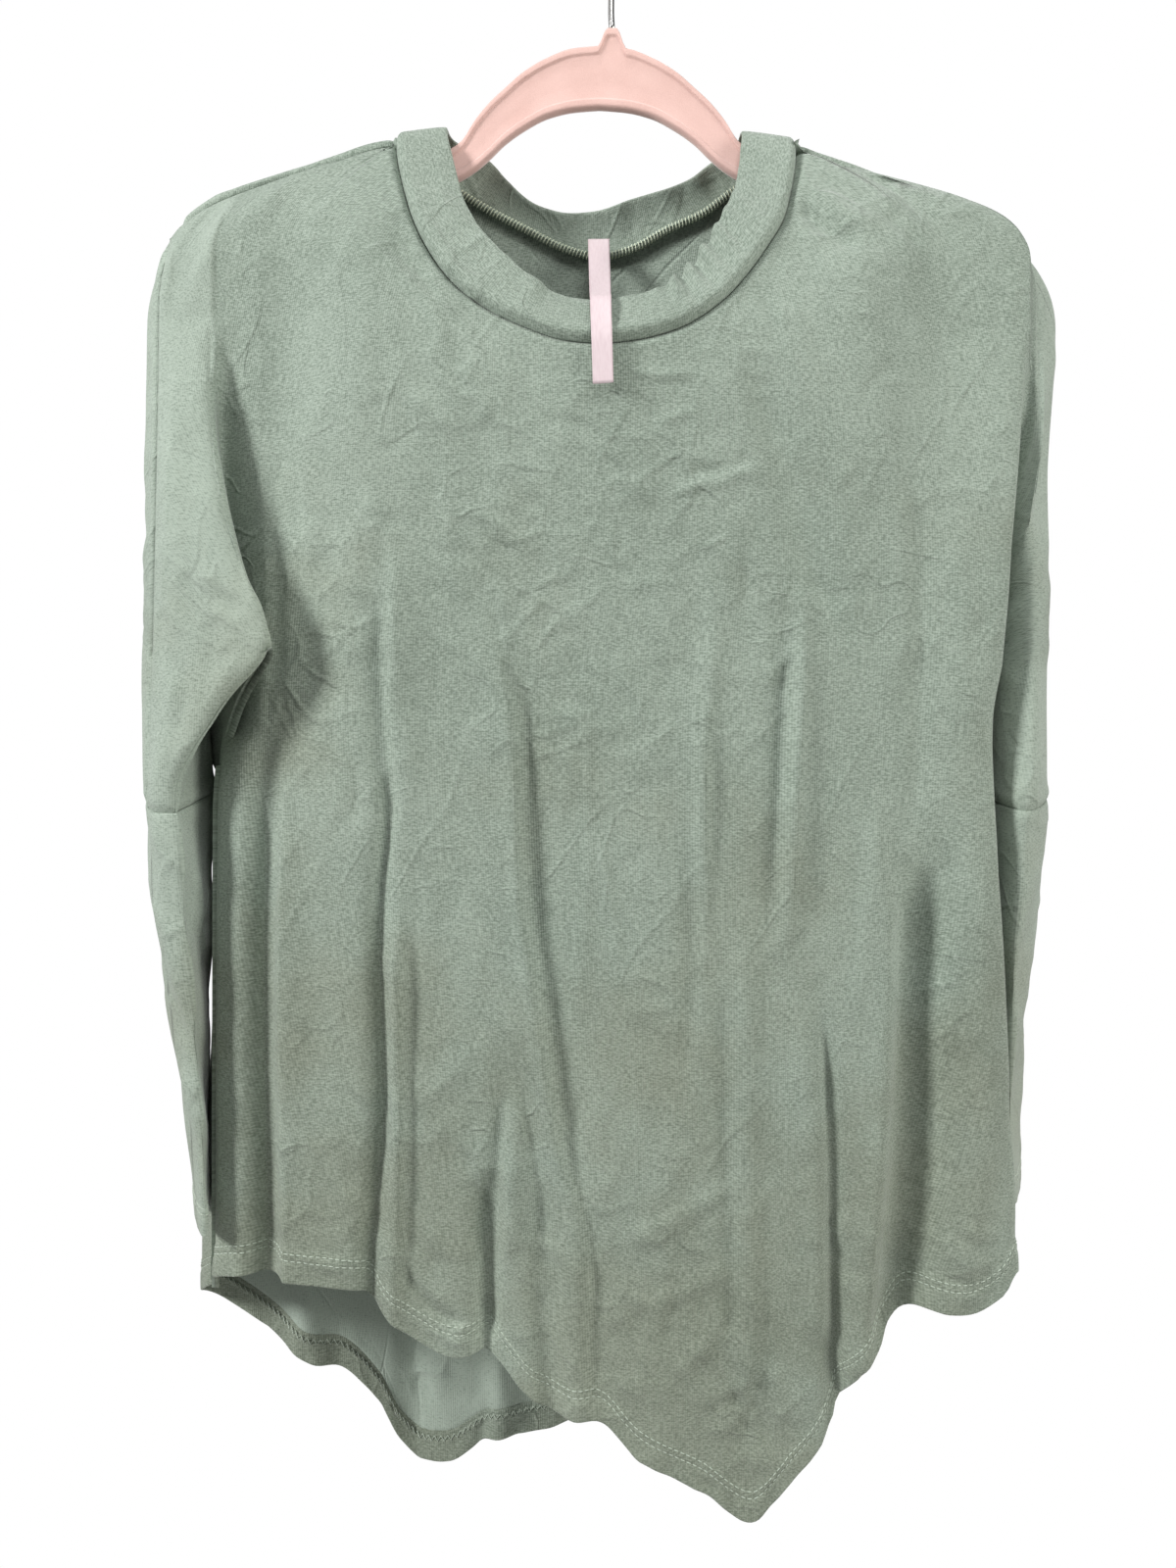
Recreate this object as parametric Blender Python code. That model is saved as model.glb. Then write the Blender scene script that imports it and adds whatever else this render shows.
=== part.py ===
"""Tunic top on a hanger.

A long-sleeved jersey tunic with wide upper sleeves grown on to the body, narrow lower sleeves sewn on at
the elbow, a folded neck band and pointed hems, hanging on a flocked hanger with a wire hook.
Metres, +Z up. The front faces -Y. The origin is where the hook rests on its rail.
"""

import math
from typing import NamedTuple

import bmesh
import bpy
import numpy as np

# ---------------------------------------------------------------- driving sizes
CLOTH = 0.0012            # wall of one layer of jersey
SEAM_GAP = 0.0003         # between two pieces where they are sewn together
SEAM_TRIM_MAX = 0.0022    # most that a piece stops short of a seam that bends sharply
BAND_WALL = 0.0024        # neck band: two layers
BAND_BULGE = 0.0012       # its middle stands out this far
BAND_LIFT = 0.0010        # and its sewn edge stops this far short of the seam line
LABEL_WIDTH = 0.012
LABEL_WALL = 0.001

SHOULDER_ROUND = 0.0065   # how the cloth turns over the top of the hanger
SEAM_ANGLE = 75.0         # the shoulder seam lies this far down the front of that turn, degrees
TURN_END = 80.0           # and the turn ends this far down the back
SLEEVE_EASE = 0.042       # length over which the cloth leaves the shoulder line, at the sleeves
BODY_EASE = 0.060         # and at the neck and chest
SHOULDER_CROWDING = 1.5   # above 1, columns stand closer towards the sleeve's corner
TURN_ROWS = 4             # rows of the back that turn over the hanger
TURN_STEP = 0.0030        # and their spacing where there is no hanger to turn over
CORNER_TURN = 0.008       # the turn grows over this distance from the sleeve's corner

HANGER_WALL = 0.006
HANGER_RIM = 0.004
HANGER_UNDER_CLOTH = 0.0017
HOOK_WIRE = 0.0016
HOOK_RADIUS = 0.0199      # inside of the hook
HOOK_FOOT = (0.0064, -0.0749)

ARMPIT = (-0.406, -0.414)   # height of the armpits, left and right as seen from the front
ELBOW = (-0.479, -0.481)
ELBOW_SLANT = 0.009         # the elbow seam's front is lower than its back by twice this
CUFF = (-0.697, -0.690)

NECK_STEPS = 2            # points round the neck for each of its stations
BODY_STEPS = 30
YOKE_ROWS = 8
BODY_ROWS = 8
ROW_CROWDING = 1.3        # above 1, rows stand closer towards the top
WING_ROWS = 4
SLEEVE_RINGS = 7


# ---------------------------------------------------------------- tables
class Over(NamedTuple):
    """A level of a panel's side where the sleeve lies over the body; left side of the front."""
    z: float
    face_x: float
    face_y: float
    fold_x: float       # the fold's ridge, above the armpit; the underarm seam below it
    fold_y: float
    valley_x: float
    valley_y: float
    body_x: float
    body_y: float


OVER = [
    Over(-0.235, -0.2120, -0.0195, -0.1980, -0.0210, -0.1880, -0.0215, -0.1700, -0.0230),
    Over(-0.262, -0.2115, -0.0255, -0.1970, -0.0270, -0.1900, -0.0205, -0.1720, -0.0225),
    Over(-0.292, -0.2110, -0.0310, -0.1935, -0.0335, -0.1940, -0.0160, -0.1730, -0.0230),
    Over(-0.333, -0.2090, -0.0360, -0.1840, -0.0405, -0.1945, -0.0080, -0.1700, -0.0240),
    Over(-0.370, -0.2060, -0.0385, -0.1725, -0.0450, -0.1940, -0.0030, -0.1690, -0.0245),
    Over(-0.406, -0.2030, -0.0400, -0.1610, -0.0480, -0.1930, -0.0005, -0.1700, -0.0250),
    Over(-0.430, -0.2080, -0.0410, -0.1800, -0.0470, -0.1900, -0.0075, -0.1710, -0.0260),
    Over(-0.443, -0.2110, -0.0410, -0.1885, -0.0460, -0.1872, -0.0145, -0.1715, -0.0270),
    Over(-0.455, -0.2140, -0.0410, -0.1970, -0.0450, -0.1882, -0.0195, -0.1720, -0.0280),
    Over(-0.479, -0.2190, -0.0390, -0.2080, -0.0400, -0.1918, -0.0205, -0.1720, -0.0290),
    Over(-0.600, -0.2190, -0.0390, -0.2080, -0.0400, -0.1940, -0.0205, -0.1720, -0.0300),
    Over(-0.730, -0.2190, -0.0390, -0.2080, -0.0400, -0.1940, -0.0205, -0.1720, -0.0290),
]


class Under(NamedTuple):
    """A level of a panel's side where the sleeve lies behind the body; left side of the back."""
    z: float
    outer_x: float      # widest point of the sleeve
    outer_y: float
    corner_x: float
    corner_y: float
    inner_x: float      # the sleeve's inner wall
    inner_y: float
    bend_x: float       # where that wall turns in behind the fold
    bend_y: float
    tip_x: float        # the hidden fold, above the armpit; the underarm seam below it
    tip_y: float
    side_x: float       # side of the body
    side_y: float
    edge_x: float       # the body's edge, where the panel turns
    edge_y: float
    body_x: float
    body_y: float


UNDER = [
    Under(-0.235, -0.2375, -0.0035, -0.2345, 0.0110, -0.2270, 0.0180, -0.2235, 0.0195,
          -0.2200, 0.0205, -0.2185, 0.0215, -0.2150, 0.0230, -0.1800, 0.0250),
    Under(-0.270, -0.2380, -0.0040, -0.2355, 0.0150, -0.2270, 0.0210, -0.2235, 0.0200,
          -0.2190, 0.0170, -0.2155, 0.0190, -0.2130, 0.0250, -0.1810, 0.0285),
    Under(-0.310, -0.2380, -0.0050, -0.2350, 0.0190, -0.2235, 0.0190, -0.2175, 0.0125,
          -0.2110, 0.0060, -0.2075, 0.0110, -0.2105, 0.0270, -0.1800, 0.0315),
    Under(-0.350, -0.2378, -0.0050, -0.2325, 0.0250, -0.2160, 0.0130, -0.2090, -0.0030,
          -0.1960, -0.0130, -0.2000, 0.0020, -0.2068, 0.0285, -0.1780, 0.0330),
    Under(-0.380, -0.2376, -0.0050, -0.2305, 0.0290, -0.2125, 0.0090, -0.2075, -0.0120,
          -0.1800, -0.0300, -0.1985, -0.0060, -0.2035, 0.0290, -0.1740, 0.0335),
    Under(-0.406, -0.2375, -0.0050, -0.2290, 0.0330, -0.2100, 0.0060, -0.2060, -0.0190,
          -0.1625, -0.0462, -0.1980, -0.0090, -0.2005, 0.0290, -0.1700, 0.0335),
    Under(-0.440, -0.2372, -0.0040, -0.2270, 0.0390, -0.2080, 0.0080, -0.2062, -0.0200,
          -0.1872, -0.0443, -0.1985, -0.0010, -0.1955, 0.0280, -0.1680, 0.0330),
    Under(-0.479, -0.2368, -0.0020, -0.2240, 0.0450, -0.2068, 0.0120, -0.2066, -0.0150,
          -0.2084, -0.0383, -0.1990, 0.0000, -0.1972, 0.0270, -0.1680, 0.0325),
    Under(-0.600, -0.2368, -0.0020, -0.2240, 0.0450, -0.2068, 0.0120, -0.2066, -0.0150,
          -0.2084, -0.0383, -0.2000, 0.0020, -0.2032, 0.0270, -0.1720, 0.0320),
    Under(-0.730, -0.2368, -0.0020, -0.2240, 0.0450, -0.2068, 0.0120, -0.2066, -0.0150,
          -0.2084, -0.0383, -0.2020, 0.0020, -0.2100, 0.0250, -0.1760, 0.0300),
]
EDGE_FIELD = Under._fields.index("edge_x") - 1


class SideSeam(NamedTuple):
    """Where the side seam runs below the armpit, from the fold's tip to the side of the body."""
    z: float
    x: float
    y: float
    turn: float         # direction from the seam to the front's edge, degrees from the viewer's right
    apart: float        # between the two panels' edges


SIDE_SEAM = [
    SideSeam(-0.406, -0.1625, -0.0455, 45.0, 0.0015),
    SideSeam(-0.430, -0.1815, -0.0290, 30.0, 0.0024),
    SideSeam(-0.443, -0.1890, -0.0205, 5.0, 0.0052),
    SideSeam(-0.455, -0.1955, -0.0130, -20.0, 0.0044),
    SideSeam(-0.490, -0.1985, -0.0110, -80.0, 0.0015),
    SideSeam(-0.730, -0.1990, -0.0110, -90.0, 0.0015),
]


class OuterSeam(NamedTuple):
    """The seam along the sleeve's outer edge, left and right."""
    z: float
    left_x: float
    left_y: float
    right_x: float
    right_y: float


OUTER_SEAM = [
    OuterSeam(-0.235, -0.2270, -0.0165, 0.2362, 0.0100),
    OuterSeam(-0.300, -0.2262, -0.0220, 0.2360, 0.0120),
    OuterSeam(-0.400, -0.2268, -0.0260, 0.2356, 0.0140),
    OuterSeam(-0.490, -0.2285, -0.0280, 0.2350, 0.0160),
]


class EdgeOut(NamedTuple):
    """How much further out the back's left edge stands than the front's right edge."""
    z: float
    out: float


EDGE_OUT = [
    EdgeOut(-0.408, 0.0000), EdgeOut(-0.426, 0.0120), EdgeOut(-0.437, 0.0175), EdgeOut(-0.458, 0.0168),
    EdgeOut(-0.470, 0.0105), EdgeOut(-0.479, 0.0096), EdgeOut(-0.600, 0.0085), EdgeOut(-0.730, 0.0060),
]


class Shoulder(NamedTuple):
    """Top outline of the cloth over the hanger, seen from the front."""
    x: float
    z: float


SHOULDER = [
    Shoulder(-0.2239, -0.1838), Shoulder(-0.2177, -0.1762), Shoulder(-0.2090, -0.1692),
    Shoulder(-0.1971, -0.1628), Shoulder(-0.1718, -0.1540), Shoulder(-0.1450, -0.1458),
    Shoulder(-0.1048, -0.1345), Shoulder(0.1006, -0.1372), Shoulder(0.1145, -0.1420),
    Shoulder(0.1460, -0.1532), Shoulder(0.1743, -0.1645), Shoulder(0.1975, -0.1752),
    Shoulder(0.2104, -0.1830), Shoulder(0.2182, -0.1905), Shoulder(0.2259, -0.1992),
]


class Neck(NamedTuple):
    """A station round the neck: the band's sewn edge and its free edge."""
    seam_x: float
    seam_y: float
    seam_z: float
    edge_x: float
    edge_y: float
    edge_z: float


NECK_FRONT = [
    Neck(-0.1048, -0.0030, -0.1364, -0.0800, -0.0010, -0.1283),
    Neck(-0.0957, -0.0220, -0.1796, -0.0716, -0.0145, -0.1665),
    Neck(-0.0852, -0.0300, -0.2036, -0.0650, -0.0215, -0.1830),
    Neck(-0.0717, -0.0360, -0.2229, -0.0540, -0.0275, -0.1995),
    Neck(-0.0545, -0.0400, -0.2371, -0.0420, -0.0310, -0.2135),
    Neck(-0.0369, -0.0430, -0.2465, -0.0290, -0.0330, -0.2240),
    Neck(-0.0206, -0.0450, -0.2530, -0.0165, -0.0340, -0.2295),
    Neck(-0.0052, -0.0460, -0.2553, -0.0040, -0.0340, -0.2318),
    Neck(0.0086, -0.0460, -0.2548, 0.0085, -0.0340, -0.2322),
    Neck(0.0235, -0.0450, -0.2521, 0.0210, -0.0340, -0.2280),
    Neck(0.0413, -0.0430, -0.2455, 0.0345, -0.0330, -0.2225),
    Neck(0.0589, -0.0400, -0.2328, 0.0465, -0.0300, -0.2095),
    Neck(0.0711, -0.0360, -0.2190, 0.0570, -0.0255, -0.1935),
    Neck(0.0841, -0.0300, -0.1997, 0.0660, -0.0200, -0.1746),
    Neck(0.0933, -0.0220, -0.1816, 0.0705, -0.0125, -0.1600),
    Neck(0.1006, -0.0030, -0.1390, 0.0743, -0.0010, -0.1290),
]
NECK_BACK = [
    Neck(0.0925, 0.0120, -0.1430, 0.0722, 0.0100, -0.1315),
    Neck(0.0730, 0.0205, -0.1510, 0.0600, 0.0175, -0.1370),
    Neck(0.0566, 0.0235, -0.1620, 0.0460, 0.0200, -0.1455),
    Neck(0.0360, 0.0260, -0.1705, 0.0290, 0.0220, -0.1505),
    Neck(0.0190, 0.0270, -0.1795, 0.0150, 0.0225, -0.1545),
    Neck(0.0000, 0.0272, -0.1842, -0.0010, 0.0225, -0.1600),
    Neck(-0.0200, 0.0270, -0.1795, -0.0190, 0.0225, -0.1610),
    Neck(-0.0400, 0.0260, -0.1700, -0.0360, 0.0220, -0.1560),
    Neck(-0.0600, 0.0240, -0.1605, -0.0500, 0.0200, -0.1450),
    Neck(-0.0800, 0.0200, -0.1500, -0.0620, 0.0170, -0.1335),
    Neck(-0.0975, 0.0120, -0.1425, -0.0775, 0.0100, -0.1290),
]


class Hem(NamedTuple):
    """A point of the hem: distance across the cloth, measured round the body's sides, and height."""
    across: float
    z: float


FRONT_HEM = [
    Hem(-0.2140, -0.7330), Hem(-0.2000, -0.7240), Hem(-0.1800, -0.7196), Hem(-0.1580, -0.7211),
    Hem(-0.1190, -0.7250), Hem(-0.1080, -0.7370), Hem(-0.0703, -0.7575), Hem(-0.0585, -0.7560),
    Hem(-0.0316, -0.7815), Hem(-0.0194, -0.7872), Hem(-0.0030, -0.7885), Hem(0.0197, -0.8090),
    Hem(0.0510, -0.8253), Hem(0.0755, -0.8405), Hem(0.0941, -0.8209), Hem(0.1088, -0.8033),
    Hem(0.1210, -0.7764), Hem(0.1357, -0.7593), Hem(0.1600, -0.7345), Hem(0.1860, -0.7372),
    Hem(0.2020, -0.7290), Hem(0.2100, -0.7180), Hem(0.2480, -0.7330),
]
BACK_HEM = [
    Hem(-0.2480, -0.7330), Hem(-0.2140, -0.7510), Hem(-0.1924, -0.7640), Hem(-0.1548, -0.7890),
    Hem(-0.1430, -0.7915), Hem(-0.1216, -0.8120), Hem(-0.1092, -0.8360), Hem(-0.0980, -0.8455),
    Hem(-0.0824, -0.8440), Hem(-0.0599, -0.8305), Hem(-0.0282, -0.8270), Hem(0.0100, -0.8080),
    Hem(0.0600, -0.7930), Hem(0.1100, -0.7740), Hem(0.1600, -0.7530), Hem(0.2140, -0.7330),
]


class Body(NamedTuple):
    """Depth of the body's front and back faces at its middle."""
    z: float
    front_y: float
    back_y: float


BODY = [
    Body(-0.150, -0.0300, 0.0240), Body(-0.260, -0.0440, 0.0290), Body(-0.330, -0.0410, 0.0310),
    Body(-0.450, -0.0370, 0.0320), Body(-0.600, -0.0360, 0.0320), Body(-0.750, -0.0340, 0.0300),
    Body(-0.850, -0.0320, 0.0280),
]


class Flute(NamedTuple):
    """A soft fold down a panel; a positive depth stands out, a negative one sinks in."""
    top_x: float
    top_z: float
    low_x: float
    low_z: float
    half_width: float
    depth: float


FRONT_FLUTES = [
    Flute(-0.166, -0.400, -0.170, -0.900, 0.0085, -0.0120),
    Flute(-0.106, -0.360, -0.111, -0.900, 0.0080, -0.0100),
    Flute(-0.098, -0.360, -0.098, -0.900, 0.0120, 0.0060),
    Flute(-0.072, -0.330, -0.012, -0.720, 0.0140, 0.0060),
    Flute(-0.060, -0.560, -0.059, -0.900, 0.0100, -0.0080),
    Flute(-0.020, -0.560, -0.024, -0.900, 0.0150, 0.0070),
    Flute(0.060, -0.420, 0.072, -0.780, 0.0100, 0.0050),
    Flute(0.066, -0.240, 0.108, -0.400, 0.0120, -0.0070),
    Flute(0.108, -0.350, 0.088, -0.640, 0.0120, 0.0070),
    Flute(0.108, -0.480, 0.128, -0.900, 0.0110, -0.0080),
    Flute(0.142, -0.380, 0.140, -0.900, 0.0140, 0.0070),
    Flute(0.178, -0.430, 0.146, -0.900, 0.0150, -0.0130),
]
BACK_FLUTES = [
    Flute(-0.150, -0.380, -0.163, -0.900, 0.0110, -0.0110),
    Flute(-0.110, -0.340, -0.104, -0.900, 0.0150, 0.0090),
    Flute(-0.060, -0.420, -0.056, -0.900, 0.0130, -0.0100),
    Flute(-0.020, -0.300, -0.010, -0.900, 0.0180, 0.0070),
    Flute(0.030, -0.380, 0.038, -0.900, 0.0130, -0.0090),
    Flute(0.080, -0.330, 0.092, -0.900, 0.0160, 0.0080),
    Flute(0.125, -0.400, 0.140, -0.900, 0.0120, -0.0110),
]


class Ring(NamedTuple):
    """A level of a lower sleeve: its box seen from above, left sleeve."""
    share: float        # from the elbow, 0, to the cuff, 1
    out_x: float
    in_x: float
    front_y: float
    back_y: float
    lean: float         # sideways shift for each metre of depth


LEFT_RINGS = [
    Ring(0.00, -0.2368, -0.2065, -0.0400, 0.0470, 0.00), Ring(0.17, -0.2350, -0.2065, -0.0400, 0.0460, 0.06),
    Ring(0.35, -0.2310, -0.2065, -0.0390, 0.0450, 0.14), Ring(0.55, -0.2250, -0.2065, -0.0380, 0.0440, 0.22),
    Ring(0.80, -0.2170, -0.2065, -0.0360, 0.0430, 0.30), Ring(1.00, -0.2130, -0.2065, -0.0350, 0.0430, 0.33),
]
RIGHT_RINGS = [
    Ring(0.00, -0.2368, -0.2065, -0.0400, 0.0300, 0.00),
    Ring(0.17, -0.2350, -0.2070, -0.0440, 0.0260, -0.06),
    Ring(0.35, -0.2310, -0.2080, -0.0480, 0.0230, -0.14),
    Ring(0.55, -0.2260, -0.2100, -0.0520, 0.0210, -0.22),
    Ring(0.80, -0.2225, -0.2120, -0.0540, 0.0190, -0.30),
    Ring(1.00, -0.2215, -0.2130, -0.0550, 0.0180, -0.33),
]


class Arch(NamedTuple):
    """The hanger's outline near its middle, right half: distance out, top and bottom heights."""
    out: float
    top: float
    bottom: float


ARCH = [
    Arch(0.000, -0.0848, -0.1178), Arch(0.014, -0.0862, -0.1190), Arch(0.027, -0.0909, -0.1222),
    Arch(0.040, -0.0985, -0.1290), Arch(0.050, -0.1072, -0.1362), Arch(0.0575, -0.1142, -0.1435),
    Arch(0.065, -0.1232, -0.1500), Arch(0.073, -0.1352, -0.1550), Arch(0.082, -0.1408, -0.1585),
    Arch(0.092, -0.1446, -0.1610), Arch(0.105, -0.1462, -0.1625),
]
ARM_HEIGHT = 0.0175
ARM_START = 0.128
ARM_END = 0.2160
ARM_TIP = 0.012

MATERIALS = {
    "jersey": ((0.33, 0.37, 0.31), 0.85, 0.0),
    "neck_ribbon": ((0.78, 0.70, 0.70), 0.45, 0.0),
    "flock": ((0.93, 0.64, 0.59), 0.80, 0.0),
    "hook_wire": ((0.62, 0.60, 0.58), 0.25, 1.0),
}


# ---------------------------------------------------------------- curves
def column(rows, name):
    return np.array([getattr(row, name) for row in rows])


def along(knots, values, at):
    """A smooth curve through a table's values that never overshoots them."""
    order = np.argsort(knots)
    k, v = knots[order], values[order]
    step = np.diff(k)
    slope = np.diff(v) / step
    tangent = np.zeros(len(k))
    tangent[0], tangent[-1] = slope[0], slope[-1]
    same = slope[:-1] * slope[1:] > 0.0
    both = 2.0 * slope[:-1] * slope[1:]
    total = slope[:-1] + slope[1:]
    tangent[1:-1] = np.where(same, both / np.where(same, total, 1.0), 0.0)
    at = np.clip(at, k[0], k[-1])
    i = np.clip(np.searchsorted(k, at) - 1, 0, len(k) - 2)
    t = (at - k[i]) / step[i]
    return ((1 + 2 * t) * (1 - t) ** 2 * v[i] + t * (1 - t) ** 2 * step[i] * tangent[i]
            + t * t * (3 - 2 * t) * v[i + 1] + t * t * (t - 1) * step[i] * tangent[i + 1])


def table_at(rows, z, *names):
    """The named columns of a table at height z."""
    levels = column(rows, "z")
    return [float(along(levels, column(rows, name), z)) for name in names]


def smooth(t):
    t = np.clip(t, 0.0, 1.0)
    return t * t * (3.0 - 2.0 * t)


def spline(points, counts, closed=False):
    """Points along a centripetal curve through control points, with counts[i] steps in span i."""
    points = [np.asarray(p, float) for p in points]
    n = len(points)
    out = []
    for i, count in enumerate(counts):
        a, b = points[i], points[(i + 1) % n]
        before = points[i - 1] if (closed or i > 0) else 2 * a - b
        after = points[(i + 2) % n] if (closed or i + 2 < n) else 2 * b - a
        knots = [0.0]
        for p, q in ((before, a), (a, b), (b, after)):
            knots.append(knots[-1] + max(np.linalg.norm(q - p), 1e-6) ** 0.5)
        t0, t1, t2, t3 = knots
        for step in range(count):
            t = t1 + (t2 - t1) * step / count
            a1 = (t1 - t) / (t1 - t0) * before + (t - t0) / (t1 - t0) * a
            a2 = (t2 - t) / (t2 - t1) * a + (t - t1) / (t2 - t1) * b
            a3 = (t3 - t) / (t3 - t2) * b + (t - t2) / (t3 - t2) * after
            b1 = (t2 - t) / (t2 - t0) * a1 + (t - t0) / (t2 - t0) * a2
            b2 = (t3 - t) / (t3 - t1) * a2 + (t - t1) / (t3 - t1) * a3
            out.append((t2 - t) / (t2 - t1) * b1 + (t - t1) / (t2 - t1) * b2)
    if not closed:
        out.append(points[-1])
    return np.array(out)


# ---------------------------------------------------------------- the body and its sides
OVER_COUNTS = (2, 3, 3, 2)
UNDER_COUNTS = (1, 2, 2, 1, 3, 3, 2, 2)
TIP_SPANS = 5             # of them up to the hidden fold's tip
RIGHT_CORNER = (0.96, 0.60)   # the right sleeve's front corner, as shares of the left one's back corner


def turned(point, side):
    """The right side repeats the left one, turned half way round the vertical."""
    return (point[0] * -side, point[1] * -side)


def outer_seam(z, side):
    names = ("left_x", "left_y") if side < 0 else ("right_x", "right_y")
    return table_at(OUTER_SEAM, z, *names)


def over_points(z, side):
    """Plan points from the sleeve's outer seam to the body, where the sleeve lies over the panel."""
    fx, fy, rx, ry, vx, vy, bx, by = table_at(
        OVER, z, "face_x", "face_y", "fold_x", "fold_y", "valley_x", "valley_y", "body_x", "body_y")
    inward = [turned(p, side) for p in ((fx, fy), (rx, ry), (vx, vy), (bx, by))]
    return [outer_seam(z, side)] + inward


def under_points(z, side):
    """The same, where the sleeve lies behind the panel."""
    values = table_at(UNDER, z, *Under._fields[1:])
    if side > 0:
        grown = smooth((UNDER[0].z - z) / 0.08)
        values[2:4] = [value * (1 - (1 - share) * grown) for value, share in zip(values[2:4], RIGHT_CORNER)]
    else:
        values[EDGE_FIELD] -= table_at(EDGE_OUT, z, "out")[0]
    inward = [turned(p, side) for p in zip(values[0::2], values[1::2])]
    return [outer_seam(z, side)] + inward


def trimmed(curve, z, side):
    """The curve with its sewn end stopped short of the outer seam, so that two walls clear each other."""
    seam = np.array(outer_seam(z, side))
    over, under = [np.array(points(z, side)[1]) - seam for points in (over_points, under_points)]
    angle = math.acos(over @ under / np.linalg.norm(over) / np.linalg.norm(under))
    trim = max(SEAM_GAP, (CLOTH + SEAM_GAP) / 2 / math.tan(max(angle, 0.2) / 2))
    step = curve[1] - curve[0]
    curve[0] += step / np.linalg.norm(step) * min(trim, SEAM_TRIM_MAX)
    return curve


def shoulder_z(x):
    return along(column(SHOULDER, "x"), column(SHOULDER, "z"), x)


def body_face(x, z, front):
    """Depth of the body's face at its middle, with its flutes."""
    name = "front_y" if front else "back_y"
    y = along(column(BODY, "z"), column(BODY, name), z)
    outward = -1.0 if front else 1.0
    for flute in (FRONT_FLUTES if front else BACK_FLUTES):
        share = (z - flute.top_z) / (flute.low_z - flute.top_z)
        centre = flute.top_x + (flute.low_x - flute.top_x) * np.clip(share, 0.0, 1.0)
        across = np.exp(-((x - centre) / flute.half_width) ** 2)
        fade = smooth(share / 0.3) * smooth((1.15 - share) / 0.2)
        y = y + outward * flute.depth * across * fade
    return y


def neck_loop():
    """The band's sewn edge and free edge, right round the neck."""
    stations = NECK_FRONT + NECK_BACK
    loop = spline([np.array(row) for row in stations], (NECK_STEPS,) * len(stations), closed=True)
    return loop[:, :3], loop[:, 3:]


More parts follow.
